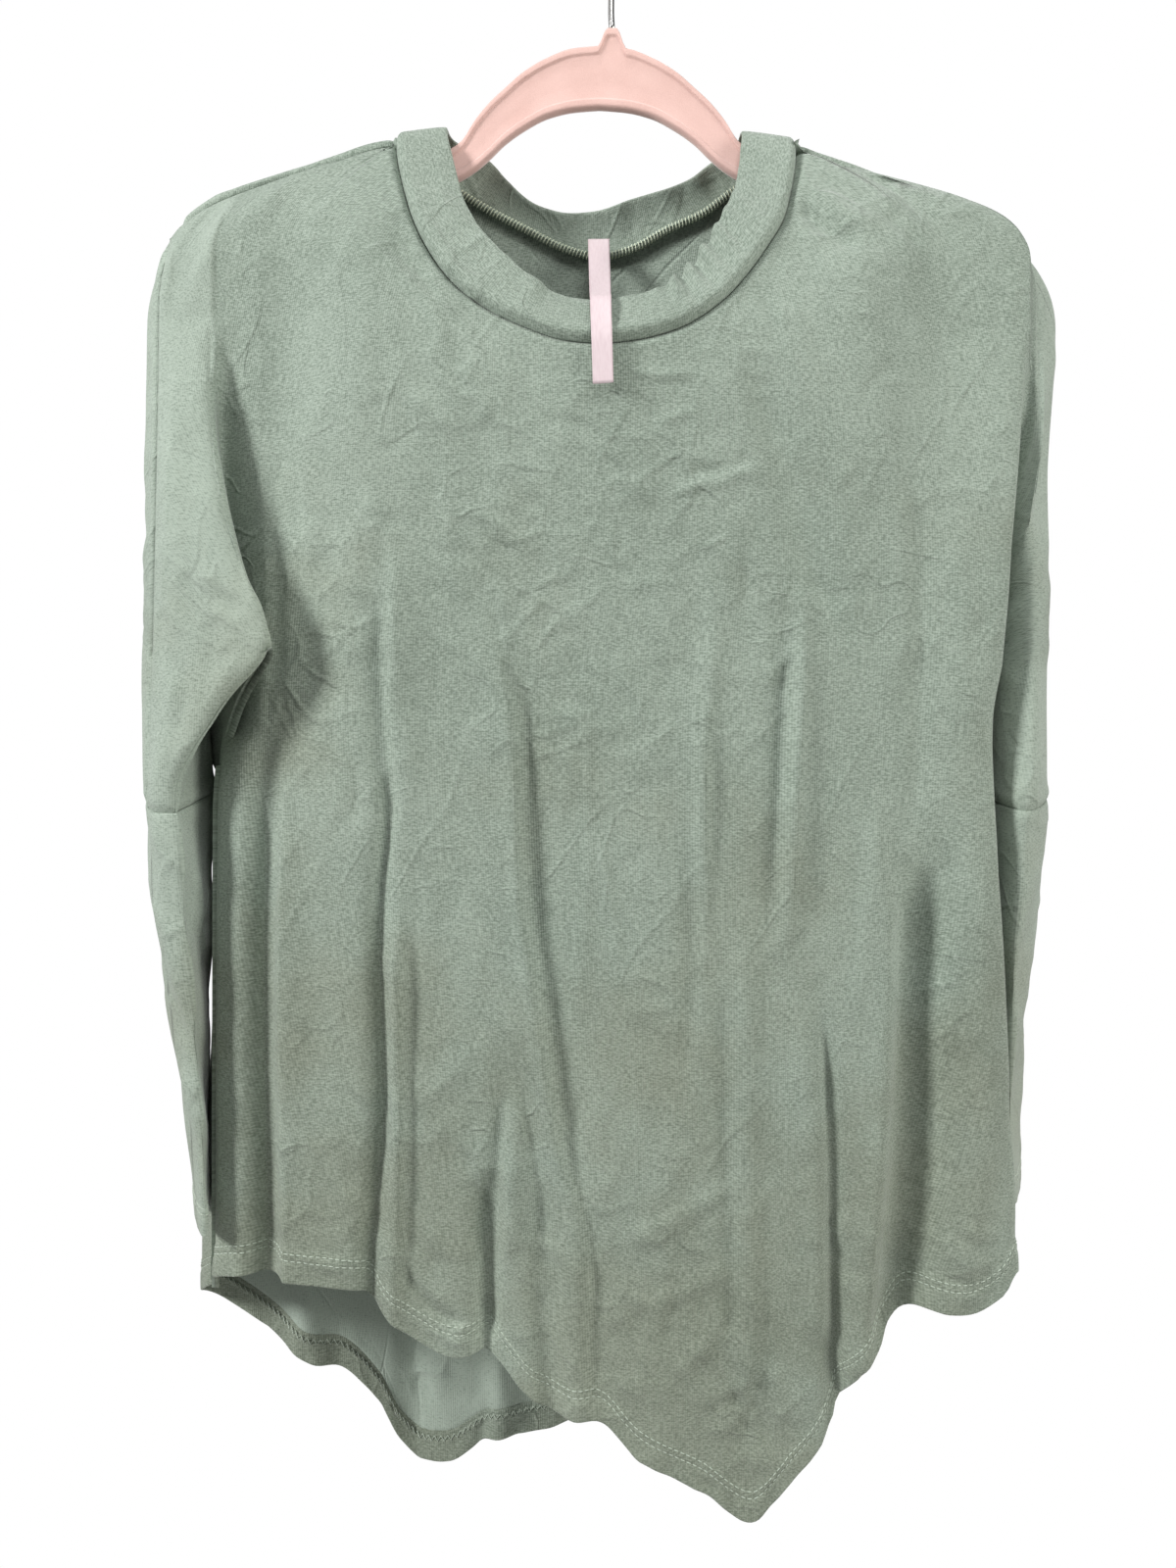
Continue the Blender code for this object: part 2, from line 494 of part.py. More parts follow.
class Panel:
    """The front or the back: a yoke down to the armpits, the body below it and two sleeve parts."""

    def __init__(self, front):
        self.front = front
        self.over_side = -1 if front else 1
        seam = neck_loop()[0]
        last = (len(NECK_FRONT) - 1) * NECK_STEPS
        self.neck = seam[:last + 1] if front else np.vstack([seam[last:], seam[:1]])
        self.hem = FRONT_HEM if front else BACK_HEM
        self.counts = {side: OVER_COUNTS if side == self.over_side else UNDER_COUNTS for side in (-1, 1)}
        self.edge_columns = {side: sum(self.counts[side]) for side in (-1, 1)}
        # the column where each armpit is: the fold's ridge or the hidden fold's tip
        self.pinch = {side: sum(self.counts[side][:self.pinch_span(side)]) for side in (-1, 1)}
        self.columns = self.edge_columns[-1] + BODY_STEPS + self.edge_columns[1] + 1

    def pinch_span(self, side):
        return 2 if side == self.over_side else TIP_SPANS

    def side_points(self, z, side):
        return over_points(z, side) if side == self.over_side else under_points(z, side)

    def side_curve(self, z, side):
        """Plan points from the outer seam to the start of the body, with a lead-in along the body."""
        points = self.side_points(z, side)
        lead = np.array([points[-1][0] - side * 0.02, points[-1][1]])
        curve = spline(points + [lead], self.counts[side] + (1,))[:self.edge_columns[side] + 1]
        return trimmed(curve, z, side)

    def section(self, z):
        """One row of plan points across the whole panel at height z."""
        left = self.side_curve(z, -1)
        right = self.side_curve(z, 1)[::-1]
        share = np.arange(1, BODY_STEPS) / BODY_STEPS
        x = left[-1][0] + (right[0][0] - left[-1][0]) * share
        middle = body_face(x, z, self.front)
        blend_left = smooth((x - left[-1][0]) / 0.06)
        blend_right = smooth((right[0][0] - x) / 0.06)
        y = middle + (left[-1][1] - middle) * (1 - blend_left) + (right[0][1] - middle) * (1 - blend_right)
        return np.vstack([left, np.column_stack([x, y]), right])

    def top_edge(self):
        """The panel's sewn upper edge, a point for each column: shoulder, neck, shoulder."""
        left_neck, right_neck = NECK_FRONT[0], NECK_FRONT[-1]
        n_left, n_right = self.edge_columns[-1] + 2, self.edge_columns[1] + 2
        left_share, right_share = [np.linspace(0, 1, n + 1) ** SHOULDER_CROWDING for n in (n_left, n_right)]
        left_x = SHOULDER[0].x + (left_neck.seam_x - SHOULDER[0].x) * left_share
        right_x = (SHOULDER[-1].x + (right_neck.seam_x - SHOULDER[-1].x) * right_share)[::-1]
        neck = self.neck if self.front else self.neck[::-1]
        length = np.concatenate([[0], np.cumsum(np.linalg.norm(np.diff(neck, axis=0), axis=1))])
        inner = self.columns - (n_left + 1) - (n_right + 1)
        at = np.linspace(0, length[-1], inner + 2)[1:-1]
        neck_points = np.column_stack([along(length, neck[:, i], at) for i in range(3)])
        neck_points[:, 2] -= SEAM_GAP
        slope = math.radians(SEAM_ANGLE)
        seam_y, seam_drop = -SHOULDER_ROUND * math.sin(slope), SHOULDER_ROUND * (1 - math.cos(slope))

        def on_shoulder(x):
            return np.column_stack([x, np.full(len(x), seam_y), shoulder_z(x) - seam_drop])
        edge = np.vstack([on_shoulder(left_x), neck_points, on_shoulder(right_x)])
        over_hanger = np.zeros(self.columns)
        if self.front:
            edge[:n_left + 1, 2] -= 2 * SEAM_GAP
            edge[-n_right - 1:, 2] -= 2 * SEAM_GAP
        else:
            over_hanger[:n_left + 1] = smooth((left_x - left_x[0]) / CORNER_TURN)
            over_hanger[-n_right - 1:] = smooth((right_x[-1] - right_x) / CORNER_TURN)
            on_top = np.concatenate([np.ones(n_left + 1), np.zeros(inner), np.ones(n_right + 1)])
            edge[:, 1] += (CLOTH + 2 * SEAM_GAP) * on_top * (1 - over_hanger)
        return edge, over_hanger[:, None]

    def split_level(self, x):
        left, right = ARMPIT
        share = np.clip((x + 0.2) / 0.4, 0.0, 1.0)
        return left + (right - left) * share

    def level_row(self, levels):
        """Points of every column, each at its own height."""
        tilt = ARMPIT[1] - ARMPIT[0]
        row = np.zeros((self.columns, 3))
        sections = {}
        for j, z in enumerate(levels):
            share = j / (self.columns - 1)
            key = round(float(z - tilt * smooth((share - 0.3) / 0.4)), 5)
            if key not in sections:
                sections[key] = self.section(key)
            row[j] = (*sections[key][j], z)
        return row

    def turned_row(self, edge, angle):
        """The row of the back that lies this far round the hanger's top, degrees from straight up."""
        turn = math.radians(angle)
        row = edge.copy()
        row[:, 1] = SHOULDER_ROUND * math.sin(turn)
        row[:, 2] = shoulder_z(edge[:, 0]) - SHOULDER_ROUND * (1 - math.cos(turn))
        return row

    def yoke(self):
        """The panel down to the armpits; the back starts by turning over the hanger."""
        edge, over_hanger = self.top_edge()
        anchor = edge + (self.turned_row(edge, TURN_END) - edge) * over_hanger
        ease = np.full(self.columns, BODY_EASE)
        ease[:self.edge_columns[-1]] = SLEEVE_EASE
        ease[-self.edge_columns[1]:] = SLEEVE_EASE

        def hanging(z):
            row = self.level_row(z)
            hold = ((1 - np.clip((anchor[:, 2] - z) / ease, 0.0, 1.0)) ** 2)[:, None]
            row[:, :2] += (anchor[:, :2] - row[:, :2]) * hold
            return row
        rows = [edge]
        if not self.front:
            start = -SEAM_ANGLE + math.degrees(SEAM_GAP / SHOULDER_ROUND)
            rows = []
            for k, angle in enumerate(np.linspace(start, TURN_END, TURN_ROWS)):
                row = hanging(edge[:, 2] - TURN_STEP * k)
                rows.append(row + (self.turned_row(edge, angle) - row) * over_hanger)
        top = rows[-1][:, 2]
        low = self.split_level(edge[:, 0])
        for i in range(1, YOKE_ROWS + 1):
            rows.append(hanging(top + (low - top) * (i / YOKE_ROWS) ** ROW_CROWDING))
        return np.array(rows)

    def body(self, first_row):
        """The body below the armpits, down to the hem."""
        left, right = self.pinch[-1], self.columns - 1 - self.pinch[1]
        hem_across, hem_z = column(self.hem, "across"), column(self.hem, "z")
        rows = [first_row[left:right + 1]]
        target = self.low_section(-0.73)
        low = along(hem_across, hem_z, self.across(target))
        for i in range(1, BODY_ROWS + 1):
            share = (i / BODY_ROWS) ** ROW_CROWDING
            z = rows[0][:, 2] + (low - rows[0][:, 2]) * share
            row = np.zeros((right - left + 1, 3))
            cache = {}
            for j, level in enumerate(z):
                key = round(float(level), 5)
                if key not in cache:
                    cache[key] = self.low_section(key)
                row[j] = (*cache[key][j], level)
            rows.append(row)
        return np.array(rows)

    def across(self, section):
        """Distance across the cloth for each point of a row: x on the body, run on round its sides."""
        run = np.concatenate([[0.0], np.cumsum(np.linalg.norm(np.diff(section, axis=0), axis=1))])
        left = self.edge_columns[-1] - self.pinch[-1]
        right = left + BODY_STEPS
        reach = section[:, 0].copy()
        reach[:left] = section[left][0] - (run[left] - run[:left])
        reach[right:] = section[right][0] + (run[right:] - run[right])
        return reach

    def low_section(self, z):
        """Plan points across the body between its side seams."""
        x, y, turn, apart = table_at(SIDE_SEAM, z, "x", "y", "turn", "apart")
        parts = []
        for side in (-1, 1):
            points = self.side_points(z, side)
            first = self.pinch_span(side)
            lead_in, rest = points[first - 1], points[first + 1:]
            shift = apart / 2 if side == self.over_side else -apart / 2
            edge = (x + shift * math.cos(math.radians(turn)), y + shift * math.sin(math.radians(turn)))
            seam = np.array(turned(edge, side))
            lead_out = np.array([rest[-1][0] - side * 0.02, rest[-1][1]])
            lead_in = seam + 0.3 * (np.array(lead_in) - np.array(points[first]))
            counts = (1,) + self.counts[side][first:]
            curve = spline([lead_in, seam] + rest + [lead_out], counts)[1:]
            parts.append(curve[:sum(counts)])
        left, right = parts[0], parts[1][::-1]
        share = np.arange(1, BODY_STEPS) / BODY_STEPS
        x = left[-1][0] + (right[0][0] - left[-1][0]) * share
        middle = body_face(x, z, self.front)
        near_left = 1 - smooth((x - left[-1][0]) / 0.05)
        near_right = 1 - smooth((right[0][0] - x) / 0.05)
        y = middle + (left[-1][1] - middle) * near_left + (right[0][1] - middle) * near_right
        return np.vstack([left, np.column_stack([x, y]), right])

    def wing(self, first_row, side):
        """The sleeve part of the panel between armpit and elbow."""
        last = self.pinch[side]
        rows = [first_row[:last + 1] if side < 0 else first_row[::-1][:last + 1]]
        tilt = ARMPIT[1] - ARMPIT[0] if side > 0 else 0.0
        elbow = ELBOW[0] if side < 0 else ELBOW[1]
        for i in range(1, WING_ROWS + 1):
            share = i / WING_ROWS
            row = np.zeros((last + 1, 3))
            for j in range(last + 1):
                slant = ELBOW_SLANT * (rows[0][j][1] / 0.045)
                z = rows[0][j][2] + (elbow + slant - rows[0][j][2]) * share
                row[j] = (*self.wing_section(z - tilt, side)[j], z)
            rows.append(row)
        return np.array(rows)

    def wing_section(self, z, side):
        points = [np.array(p) for p in self.side_points(z, side)]
        first = self.pinch_span(side)
        end = points[first]
        lead = end + (np.array((0.004, 0.010)) * -side if side == self.over_side
                      else np.array((0.004, -0.010)) * -side)
        counts = self.counts[side][:first]
        return trimmed(spline(points[:first + 1] + [lead], counts + (1,))[:sum(counts) + 1], z, side)


# ---------------------------------------------------------------- meshes
def new_object(name, mesh, material):
    obj = bpy.data.objects.new(name, mesh)
    bpy.context.collection.objects.link(obj)
    mesh.materials.append(material)
    return obj


def grid_mesh(name, grids):
    """A sheet from grids of points that share edges."""
    bm = bmesh.new()
    for grid in grids:
        rows = [[bm.verts.new(p) for p in row] for row in grid]
        for upper, lower in zip(rows, rows[1:]):
            for j in range(len(upper) - 1):
                corners = [upper[j], lower[j], lower[j + 1], upper[j + 1]]
                bm.faces.new(corners)
    bmesh.ops.remove_doubles(bm, verts=bm.verts, dist=1e-6)
    bmesh.ops.recalc_face_normals(bm, faces=bm.faces)
    mesh = bpy.data.meshes.new(name)
    bm.to_mesh(mesh)
    bm.free()
    mesh.shade_smooth()
    return mesh


def thicken(obj, wall):
    solid = obj.modifiers.new("wall", "SOLIDIFY")
    solid.thickness = wall
    solid.offset = 0.0
    solid.use_even_offset = False


def tube_mesh(name, rings, capped):
    """A closed skin through rings of equal length; capped at both ends, or joined end to end."""
    bm = bmesh.new()
    loops = [[bm.verts.new(p) for p in ring] for ring in rings]
    pairs = list(zip(loops, loops[1:]))
    if not capped:
        pairs.append((loops[-1], loops[0]))
    for a, b in pairs:
        for j in range(len(a)):
            k = (j + 1) % len(a)
            bm.faces.new([a[j], a[k], b[k], b[j]])
    if capped:
        bm.faces.new(loops[0][::-1])
        bm.faces.new(loops[-1])
    bmesh.ops.recalc_face_normals(bm, faces=bm.faces)
    mesh = bpy.data.meshes.new(name)
    bm.to_mesh(mesh)
    bm.free()
    mesh.shade_smooth()
    return mesh


def make_panel(name, front, material):
    """One of the two panels; gives back the elbow edges of its sleeve parts."""
    panel = Panel(front)
    yoke = panel.yoke()
    grids = [yoke, panel.body(yoke[-1])]
    for side in (-1, 1):
        grids.append(panel.wing(yoke[-1], side))
    obj = new_object(name, grid_mesh(name, grids), material)
    thicken(obj, CLOTH)
    return [grid[-1] for grid in grids[2:]]


def make_sleeve(name, side, elbows, material):
    """A lower sleeve: its first ring is the sewn edge of the two upper sleeve parts."""
    front, back = [pair[0 if side < 0 else 1] for pair in elbows]
    start = np.vstack([front, back[::-1][1:-1]])
    table = LEFT_RINGS if side < 0 else RIGHT_RINGS
    cuff = CUFF[0] if side < 0 else CUFF[1]
    share_knots = column(table, "share")
    top = start[:, 2] - 3 * SEAM_GAP
    rings = []
    box0 = [float(along(share_knots, column(table, n), 0.0)) for n in Ring._fields[1:]]
    for share in np.linspace(0.0, 1.0, SLEEVE_RINGS + 1):
        box = [float(along(share_knots, column(table, n), share)) for n in Ring._fields[1:]]
        ring = start.copy()
        local = start[:, :2] * -side
        u = (local[:, 0] - box0[0]) / (box0[1] - box0[0])
        v = (local[:, 1] - box0[2]) / (box0[3] - box0[2])
        depth = box[2] + v * (box[3] - box[2])
        ring[:, 0] = (box[0] + u * (box[1] - box[0]) - box[4] * depth) * -side
        ring[:, 1] = depth * -side
        ring[:, 2] = top + (cuff - top) * share
        rings.append(np.vstack([ring, ring[:1]]))
    mesh = grid_mesh(name, [np.array(rings)])
    obj = new_object(name, mesh, material)
    thicken(obj, CLOTH)


def make_band(material):
    """The neck band: a flat tube of double cloth round the neck."""
    seams, edges = neck_loop()
    rings = []
    for i, (seam, edge) in enumerate(zip(seams, edges)):
        after = (i + 1) % len(seams)
        run = seams[after] - seams[i - 1] + edges[after] - edges[i - 1]
        across = edge - seam
        out = np.cross(run, across)
        out /= np.linalg.norm(out)
        up = across / np.linalg.norm(across)
        half = BAND_WALL / 2
        foot = seam + up * BAND_LIFT
        profile = [foot - out * half, foot + out * half,
                   (foot + edge) / 2 + out * (half + BAND_BULGE), edge - up * half + out * half,
                   edge, edge - up * half - out * half, (foot + edge) / 2 + out * (BAND_BULGE - half)]
        rings.append(profile)
    new_object("neck_band", tube_mesh("neck_band", rings, capped=False), material)


LABEL_PATH = [
    (-0.0010, 0.0247, -0.1822), (-0.0010, 0.0190, -0.1850), (-0.0010, 0.0040, -0.1990),
    (-0.0010, -0.0150, -0.2175), (-0.0008, -0.0300, -0.2290), (-0.0006, -0.0340, -0.2305),
    (-0.0005, -0.0369, -0.2317), (0.0000, -0.0432, -0.2420), (0.0003, -0.0483, -0.2543),
    (0.0008, -0.0492, -0.2650), (0.0015, -0.0494, -0.2790),
]


def make_label(material):
    """The neck ribbon, from the back neck seam over the front of the band."""
    line = spline(LABEL_PATH, (2,) * (len(LABEL_PATH) - 1))
    half = LABEL_WIDTH / 2
    grid = [[p + np.array((-half, 0, 0)), p + np.array((half, 0, 0))] for p in line]
    obj = new_object("neck_label", grid_mesh("neck_label", [np.array(grid)]), material)
    thicken(obj, LABEL_WALL)


def hanger_outline(x):
    """Top and bottom heights of the hanger at x."""
    out = abs(x)
    last = ARCH[-1].out
    names = ("top", "bottom")
    arch = [float(along(column(ARCH, "out"), column(ARCH, n), min(out, last))) for n in names]
    inside = math.copysign(max(out, ARM_START), x)
    top = float(shoulder_z(inside)) - HANGER_UNDER_CLOTH
    arm = [top, top - ARM_HEIGHT]
    share = float(np.clip((out - last) / (ARM_START - last), 0.0, 1.0))
    top, bottom = [a + (b - a) * share for a, b in zip(arch, arm)]
    past = max(0.0, out - (ARM_END - ARM_TIP)) / ARM_TIP
    middle, half = (top + bottom) / 2, (top - bottom) / 2
    half *= max(0.0, 1.0 - past ** 2) ** 0.5
    top, bottom = middle + half, middle - half
    bump = abs(x - HOOK_FOOT[0])
    stud = HOOK_FOOT[1] - 0.0006
    if bump < 0.0075:
        top = max(top, stud + (top - stud) * smooth((bump - 0.0025) / 0.005))
    return top, bottom


def make_hanger(material):
    """The hanger: a plate with a raised rim round a sunken web."""
    reach = ARM_END - 0.0002
    arm = list(np.linspace(0.072, ARM_END - ARM_TIP, 10)) + [ARM_END - 0.007, ARM_END - 0.003, reach]
    middle = list(np.linspace(-0.064, 0.064, 17))
    foot = [HOOK_FOOT[0] + d for d in (-0.0075, -0.0025, 0.0025, 0.0075)]
    stations = sorted([-x for x in arm] + middle + foot + arm)
    half = HANGER_WALL / 2
    web = half - 0.0011
    rings = []
    for x in stations:
        top, bottom = hanger_outline(x)
        height = top - bottom
        rim = min(HANGER_RIM, height * 0.3)
        edge = min(0.0012, height * 0.15)
        levels = [(0.0, top), (half, top - edge), (half, top - rim), (web, top - rim * 1.35),
                  (web, bottom + rim * 1.35), (half, bottom + rim), (half, bottom + edge), (0.0, bottom)]
        ring = [(x, y, z) for y, z in levels] + [(x, -y, z) for y, z in levels[-2:0:-1]]
        rings.append(ring)
    new_object("hanger", tube_mesh("hanger", rings, capped=True), material)


def hook_path():
    """Up from the hanger, round over the rail and down to a free end."""
    radius = HOOK_RADIUS + HOOK_WIRE
    centre = (0.0, -HOOK_RADIUS)
    x0, z0 = HOOK_FOOT
    lead = [(x0, z0), (x0 - 0.0004, z0 + 0.010), (x0 + 0.0004, z0 + 0.020), (x0 + 0.0052, z0 + 0.0285)]
    arc = [math.radians(a) for a in np.linspace(-38.0, 205.0, 20)]
    round_part = [(centre[0] + radius * math.cos(a), centre[1] + radius * math.sin(a)) for a in arc]
    return [np.array((x, 0.0, z)) for x, z in lead + round_part]


def make_hook(material):
    path = spline(hook_path(), (1,) * 23)
    sides = 8
    rings = []
    for i, point in enumerate(path):
        run = path[min(i + 1, len(path) - 1)] - path[max(i - 1, 0)]
        run /= np.linalg.norm(run)
        across = np.array((0.0, 1.0, 0.0))
        up = np.cross(run, across)
        grow = 1.45 if len(path) - 3 < i < len(path) - 1 else 1.0
        turns = [2 * math.pi * k / sides for k in range(sides)]
        rings.append([point + HOOK_WIRE * grow * (math.cos(t) * across + math.sin(t) * up) for t in turns])
    new_object("hook", tube_mesh("hook", rings, capped=True), material)


# ---------------------------------------------------------------- build
def make_materials():
    made = {}
    for name, (colour, roughness, metallic) in MATERIALS.items():
        material = bpy.data.materials.new(name)
        material.use_nodes = True
        shader = material.node_tree.nodes["Principled BSDF"]
        shader.inputs["Base Color"].default_value = (*colour, 1.0)
        shader.inputs["Roughness"].default_value = roughness
        shader.inputs["Metallic"].default_value = metallic
        made[name] = material
    return made


def main():
    for old in list(bpy.data.objects):
        bpy.data.objects.remove(old)
    materials = make_materials()
    jersey = materials["jersey"]
    elbows = [make_panel("front", True, jersey), make_panel("back", False, jersey)]
    make_sleeve("sleeve_left", -1, elbows, jersey)
    make_sleeve("sleeve_right", 1, elbows, jersey)
    make_band(jersey)
    make_label(materials["neck_ribbon"])
    make_hanger(materials["flock"])
    make_hook(materials["hook_wire"])


main()
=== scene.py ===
"""Dressed model of a tunic top on a flocked hanger.

Jersey panels, lower sleeves, neck band, ribbon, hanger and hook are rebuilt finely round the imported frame,
with their folds, hems and stitching. Metres, +Z up, front towards -Y.
"""

from __future__ import annotations

import logging
import math
from dataclasses import dataclass, field
from enum import Enum
from typing import NamedTuple, Sequence

import bpy
import mathutils
import numpy as np
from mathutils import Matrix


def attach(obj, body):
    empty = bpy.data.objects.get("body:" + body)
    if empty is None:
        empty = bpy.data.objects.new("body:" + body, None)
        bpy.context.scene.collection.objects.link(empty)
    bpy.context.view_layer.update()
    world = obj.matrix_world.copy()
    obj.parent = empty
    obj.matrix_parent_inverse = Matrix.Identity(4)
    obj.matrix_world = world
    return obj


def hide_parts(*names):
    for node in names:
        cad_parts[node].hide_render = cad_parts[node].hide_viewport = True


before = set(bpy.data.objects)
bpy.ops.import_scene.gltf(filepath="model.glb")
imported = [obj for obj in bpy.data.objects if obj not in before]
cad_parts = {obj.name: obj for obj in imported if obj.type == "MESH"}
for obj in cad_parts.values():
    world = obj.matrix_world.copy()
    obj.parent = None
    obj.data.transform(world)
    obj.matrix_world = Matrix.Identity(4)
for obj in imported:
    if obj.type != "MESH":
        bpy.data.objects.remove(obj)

Array = np.ndarray
log = logging.getLogger("tunic")
MM = 0.001


# ================================================================ curves
def along(knots: Array, values: Array, at: Array | float) -> Array:
    """A smooth curve through a table's values that never overshoots them.

    Args:
        knots: positions of the table's rows, in any order.
        values: value at each row.
        at: positions to read.

    Returns:
        The values at those positions.
    """
    order = np.argsort(knots)
    k, v = knots[order], values[order]
    step = np.diff(k)
    slope = np.diff(v) / step
    tangent = np.zeros(len(k))
    tangent[0], tangent[-1] = slope[0], slope[-1]
    same = slope[:-1] * slope[1:] > 0.0
    total = slope[:-1] + slope[1:]
    tangent[1:-1] = np.where(same, 2.0 * slope[:-1] * slope[1:] / np.where(same, total, 1.0), 0.0)
    at = np.clip(at, k[0], k[-1])
    i = np.clip(np.searchsorted(k, at) - 1, 0, len(k) - 2)
    t = (at - k[i]) / step[i]
    return (
        (1 + 2 * t) * (1 - t) ** 2 * v[i]
        + t * (1 - t) ** 2 * step[i] * tangent[i]
        + t * t * (3 - 2 * t) * v[i + 1]
        + t * t * (t - 1) * step[i] * tangent[i + 1]
    )


def smooth(t: Array | float) -> Array:
    """Eases from 0 at t = 0 to 1 at t = 1."""
    t = np.clip(t, 0.0, 1.0)
    return t * t * (3.0 - 2.0 * t)


def column(rows: Sequence[NamedTuple], name: str) -> Array:
    """One named column of a table."""
    return np.array([getattr(row, name) for row in rows])


def table_at(rows: Sequence[NamedTuple], z: Array, *names: str) -> list[Array]:
    """The named columns of a table at heights z."""
    levels = column(rows, "z")
    return [along(levels, column(rows, name), z) for name in names]


def spline(points: Sequence[Array], counts: Sequence[int], closed: bool = False) -> Array:
    """A centripetal curve through control points, for one curve or for a stack of them.

    Args:
        points: control points, each an array whose last axis is the coordinates.
        counts: steps in each span.
        closed: True where the curve returns to its first point.

    Returns:
        Points along the curve, on the axis before the last.
    """
    points = [np.asarray(p, float) for p in points]
    n = len(points)
    out = []
    for i, count in enumerate(counts):
        a, b = points[i], points[(i + 1) % n]
        before = points[i - 1] if (closed or i > 0) else 2 * a - b
        after = points[(i + 2) % n] if (closed or i + 2 < n) else 2 * b - a
        knots = [np.zeros(a.shape[:-1] + (1,))]
        for p, q in ((before, a), (a, b), (b, after)):
            length = np.linalg.norm(q - p, axis=-1, keepdims=True)
            knots.append(knots[-1] + np.maximum(length, 1e-6) ** 0.5)
        t0, t1, t2, t3 = knots
        for step in range(count):
            t = t1 + (t2 - t1) * step / count
            a1 = (t1 - t) / (t1 - t0) * before + (t - t0) / (t1 - t0) * a
            a2 = (t2 - t) / (t2 - t1) * a + (t - t1) / (t2 - t1) * b
            a3 = (t3 - t) / (t3 - t2) * b + (t - t2) / (t3 - t2) * after
            b1 = (t2 - t) / (t2 - t0) * a1 + (t - t0) / (t2 - t0) * a2
            b2 = (t3 - t) / (t3 - t1) * a2 + (t - t1) / (t3 - t1) * a3
            out.append((t2 - t) / (t2 - t1) * b1 + (t - t1) / (t2 - t1) * b2)
    if not closed:
        out.append(points[-1])
    return np.stack(out, axis=-2)


def unit(v: Array) -> Array:
    """Vectors scaled to length 1."""
    return v / np.maximum(np.linalg.norm(v, axis=-1, keepdims=True), 1e-12)


def run_along(path: Array) -> Array:
    """Distance of each of a path's points from its first, along it."""
    return np.concatenate([[0.0], np.cumsum(np.linalg.norm(np.diff(path, axis=0), axis=1))])


def points_at(at: Array, run: Array, path: Array) -> Array:
    """Points at the distances at along a path whose own points lie at the distances run."""
    return np.stack([np.interp(at, run, path[:, k]) for k in range(3)], axis=1)


def nearest(points: Array, targets: Array) -> list[float]:
    """How far off the nearest target is.

    Args:
        points: the points to measure from.
        targets: the points to measure to.

    Returns:
        A distance for each of the points.
    """
    tree = mathutils.kdtree.KDTree(len(targets))
    for k, target in enumerate(targets):
        tree.insert(target, k)
    tree.balance()
    return [tree.find(point)[2] for point in points]


# ================================================================ the cut and its drape
class Over(NamedTuple):
    """A level of a panel's side where the sleeve lies over the body; left side of the front."""

    z: float
    face_x: float
    face_y: float
    fold_x: float
    fold_y: float
    valley_x: float
    valley_y: float
    body_x: float
    body_y: float


OVER = (
    Over(-0.235, -0.2120, -0.0195, -0.1980, -0.0210, -0.1880, -0.0215, -0.1700, -0.0230),
    Over(-0.262, -0.2115, -0.0255, -0.1970, -0.0270, -0.1900, -0.0205, -0.1720, -0.0225),
    Over(-0.292, -0.2110, -0.0310, -0.1935, -0.0335, -0.1940, -0.0160, -0.1730, -0.0230),
    Over(-0.333, -0.2090, -0.0360, -0.1840, -0.0405, -0.1945, -0.0080, -0.1700, -0.0240),
    Over(-0.370, -0.2060, -0.0385, -0.1725, -0.0450, -0.1940, -0.0030, -0.1690, -0.0245),
    Over(-0.406, -0.2030, -0.0400, -0.1610, -0.0480, -0.1930, -0.0005, -0.1700, -0.0250),
    Over(-0.430, -0.2080, -0.0410, -0.1800, -0.0470, -0.1900, -0.0075, -0.1710, -0.0260),
    Over(-0.443, -0.2110, -0.0410, -0.1885, -0.0460, -0.1872, -0.0145, -0.1715, -0.0270),
    Over(-0.455, -0.2140, -0.0410, -0.1970, -0.0450, -0.1882, -0.0195, -0.1720, -0.0280),
    Over(-0.479, -0.2190, -0.0390, -0.2080, -0.0400, -0.1918, -0.0205, -0.1720, -0.0290),
    Over(-0.600, -0.2190, -0.0390, -0.2080, -0.0400, -0.1940, -0.0205, -0.1720, -0.0300),
    Over(-0.730, -0.2190, -0.0390, -0.2080, -0.0400, -0.1940, -0.0205, -0.1720, -0.0290),
)


class Under(NamedTuple):
    """A level of a panel's side where the sleeve lies behind the body; left side of the back."""

    z: float
    outer_x: float
    outer_y: float
    corner_x: float
    corner_y: float
    inner_x: float
    inner_y: float
    bend_x: float
    bend_y: float
    tip_x: float
    tip_y: float
    side_x: float
    side_y: float
    edge_x: float
    edge_y: float
    body_x: float
    body_y: float


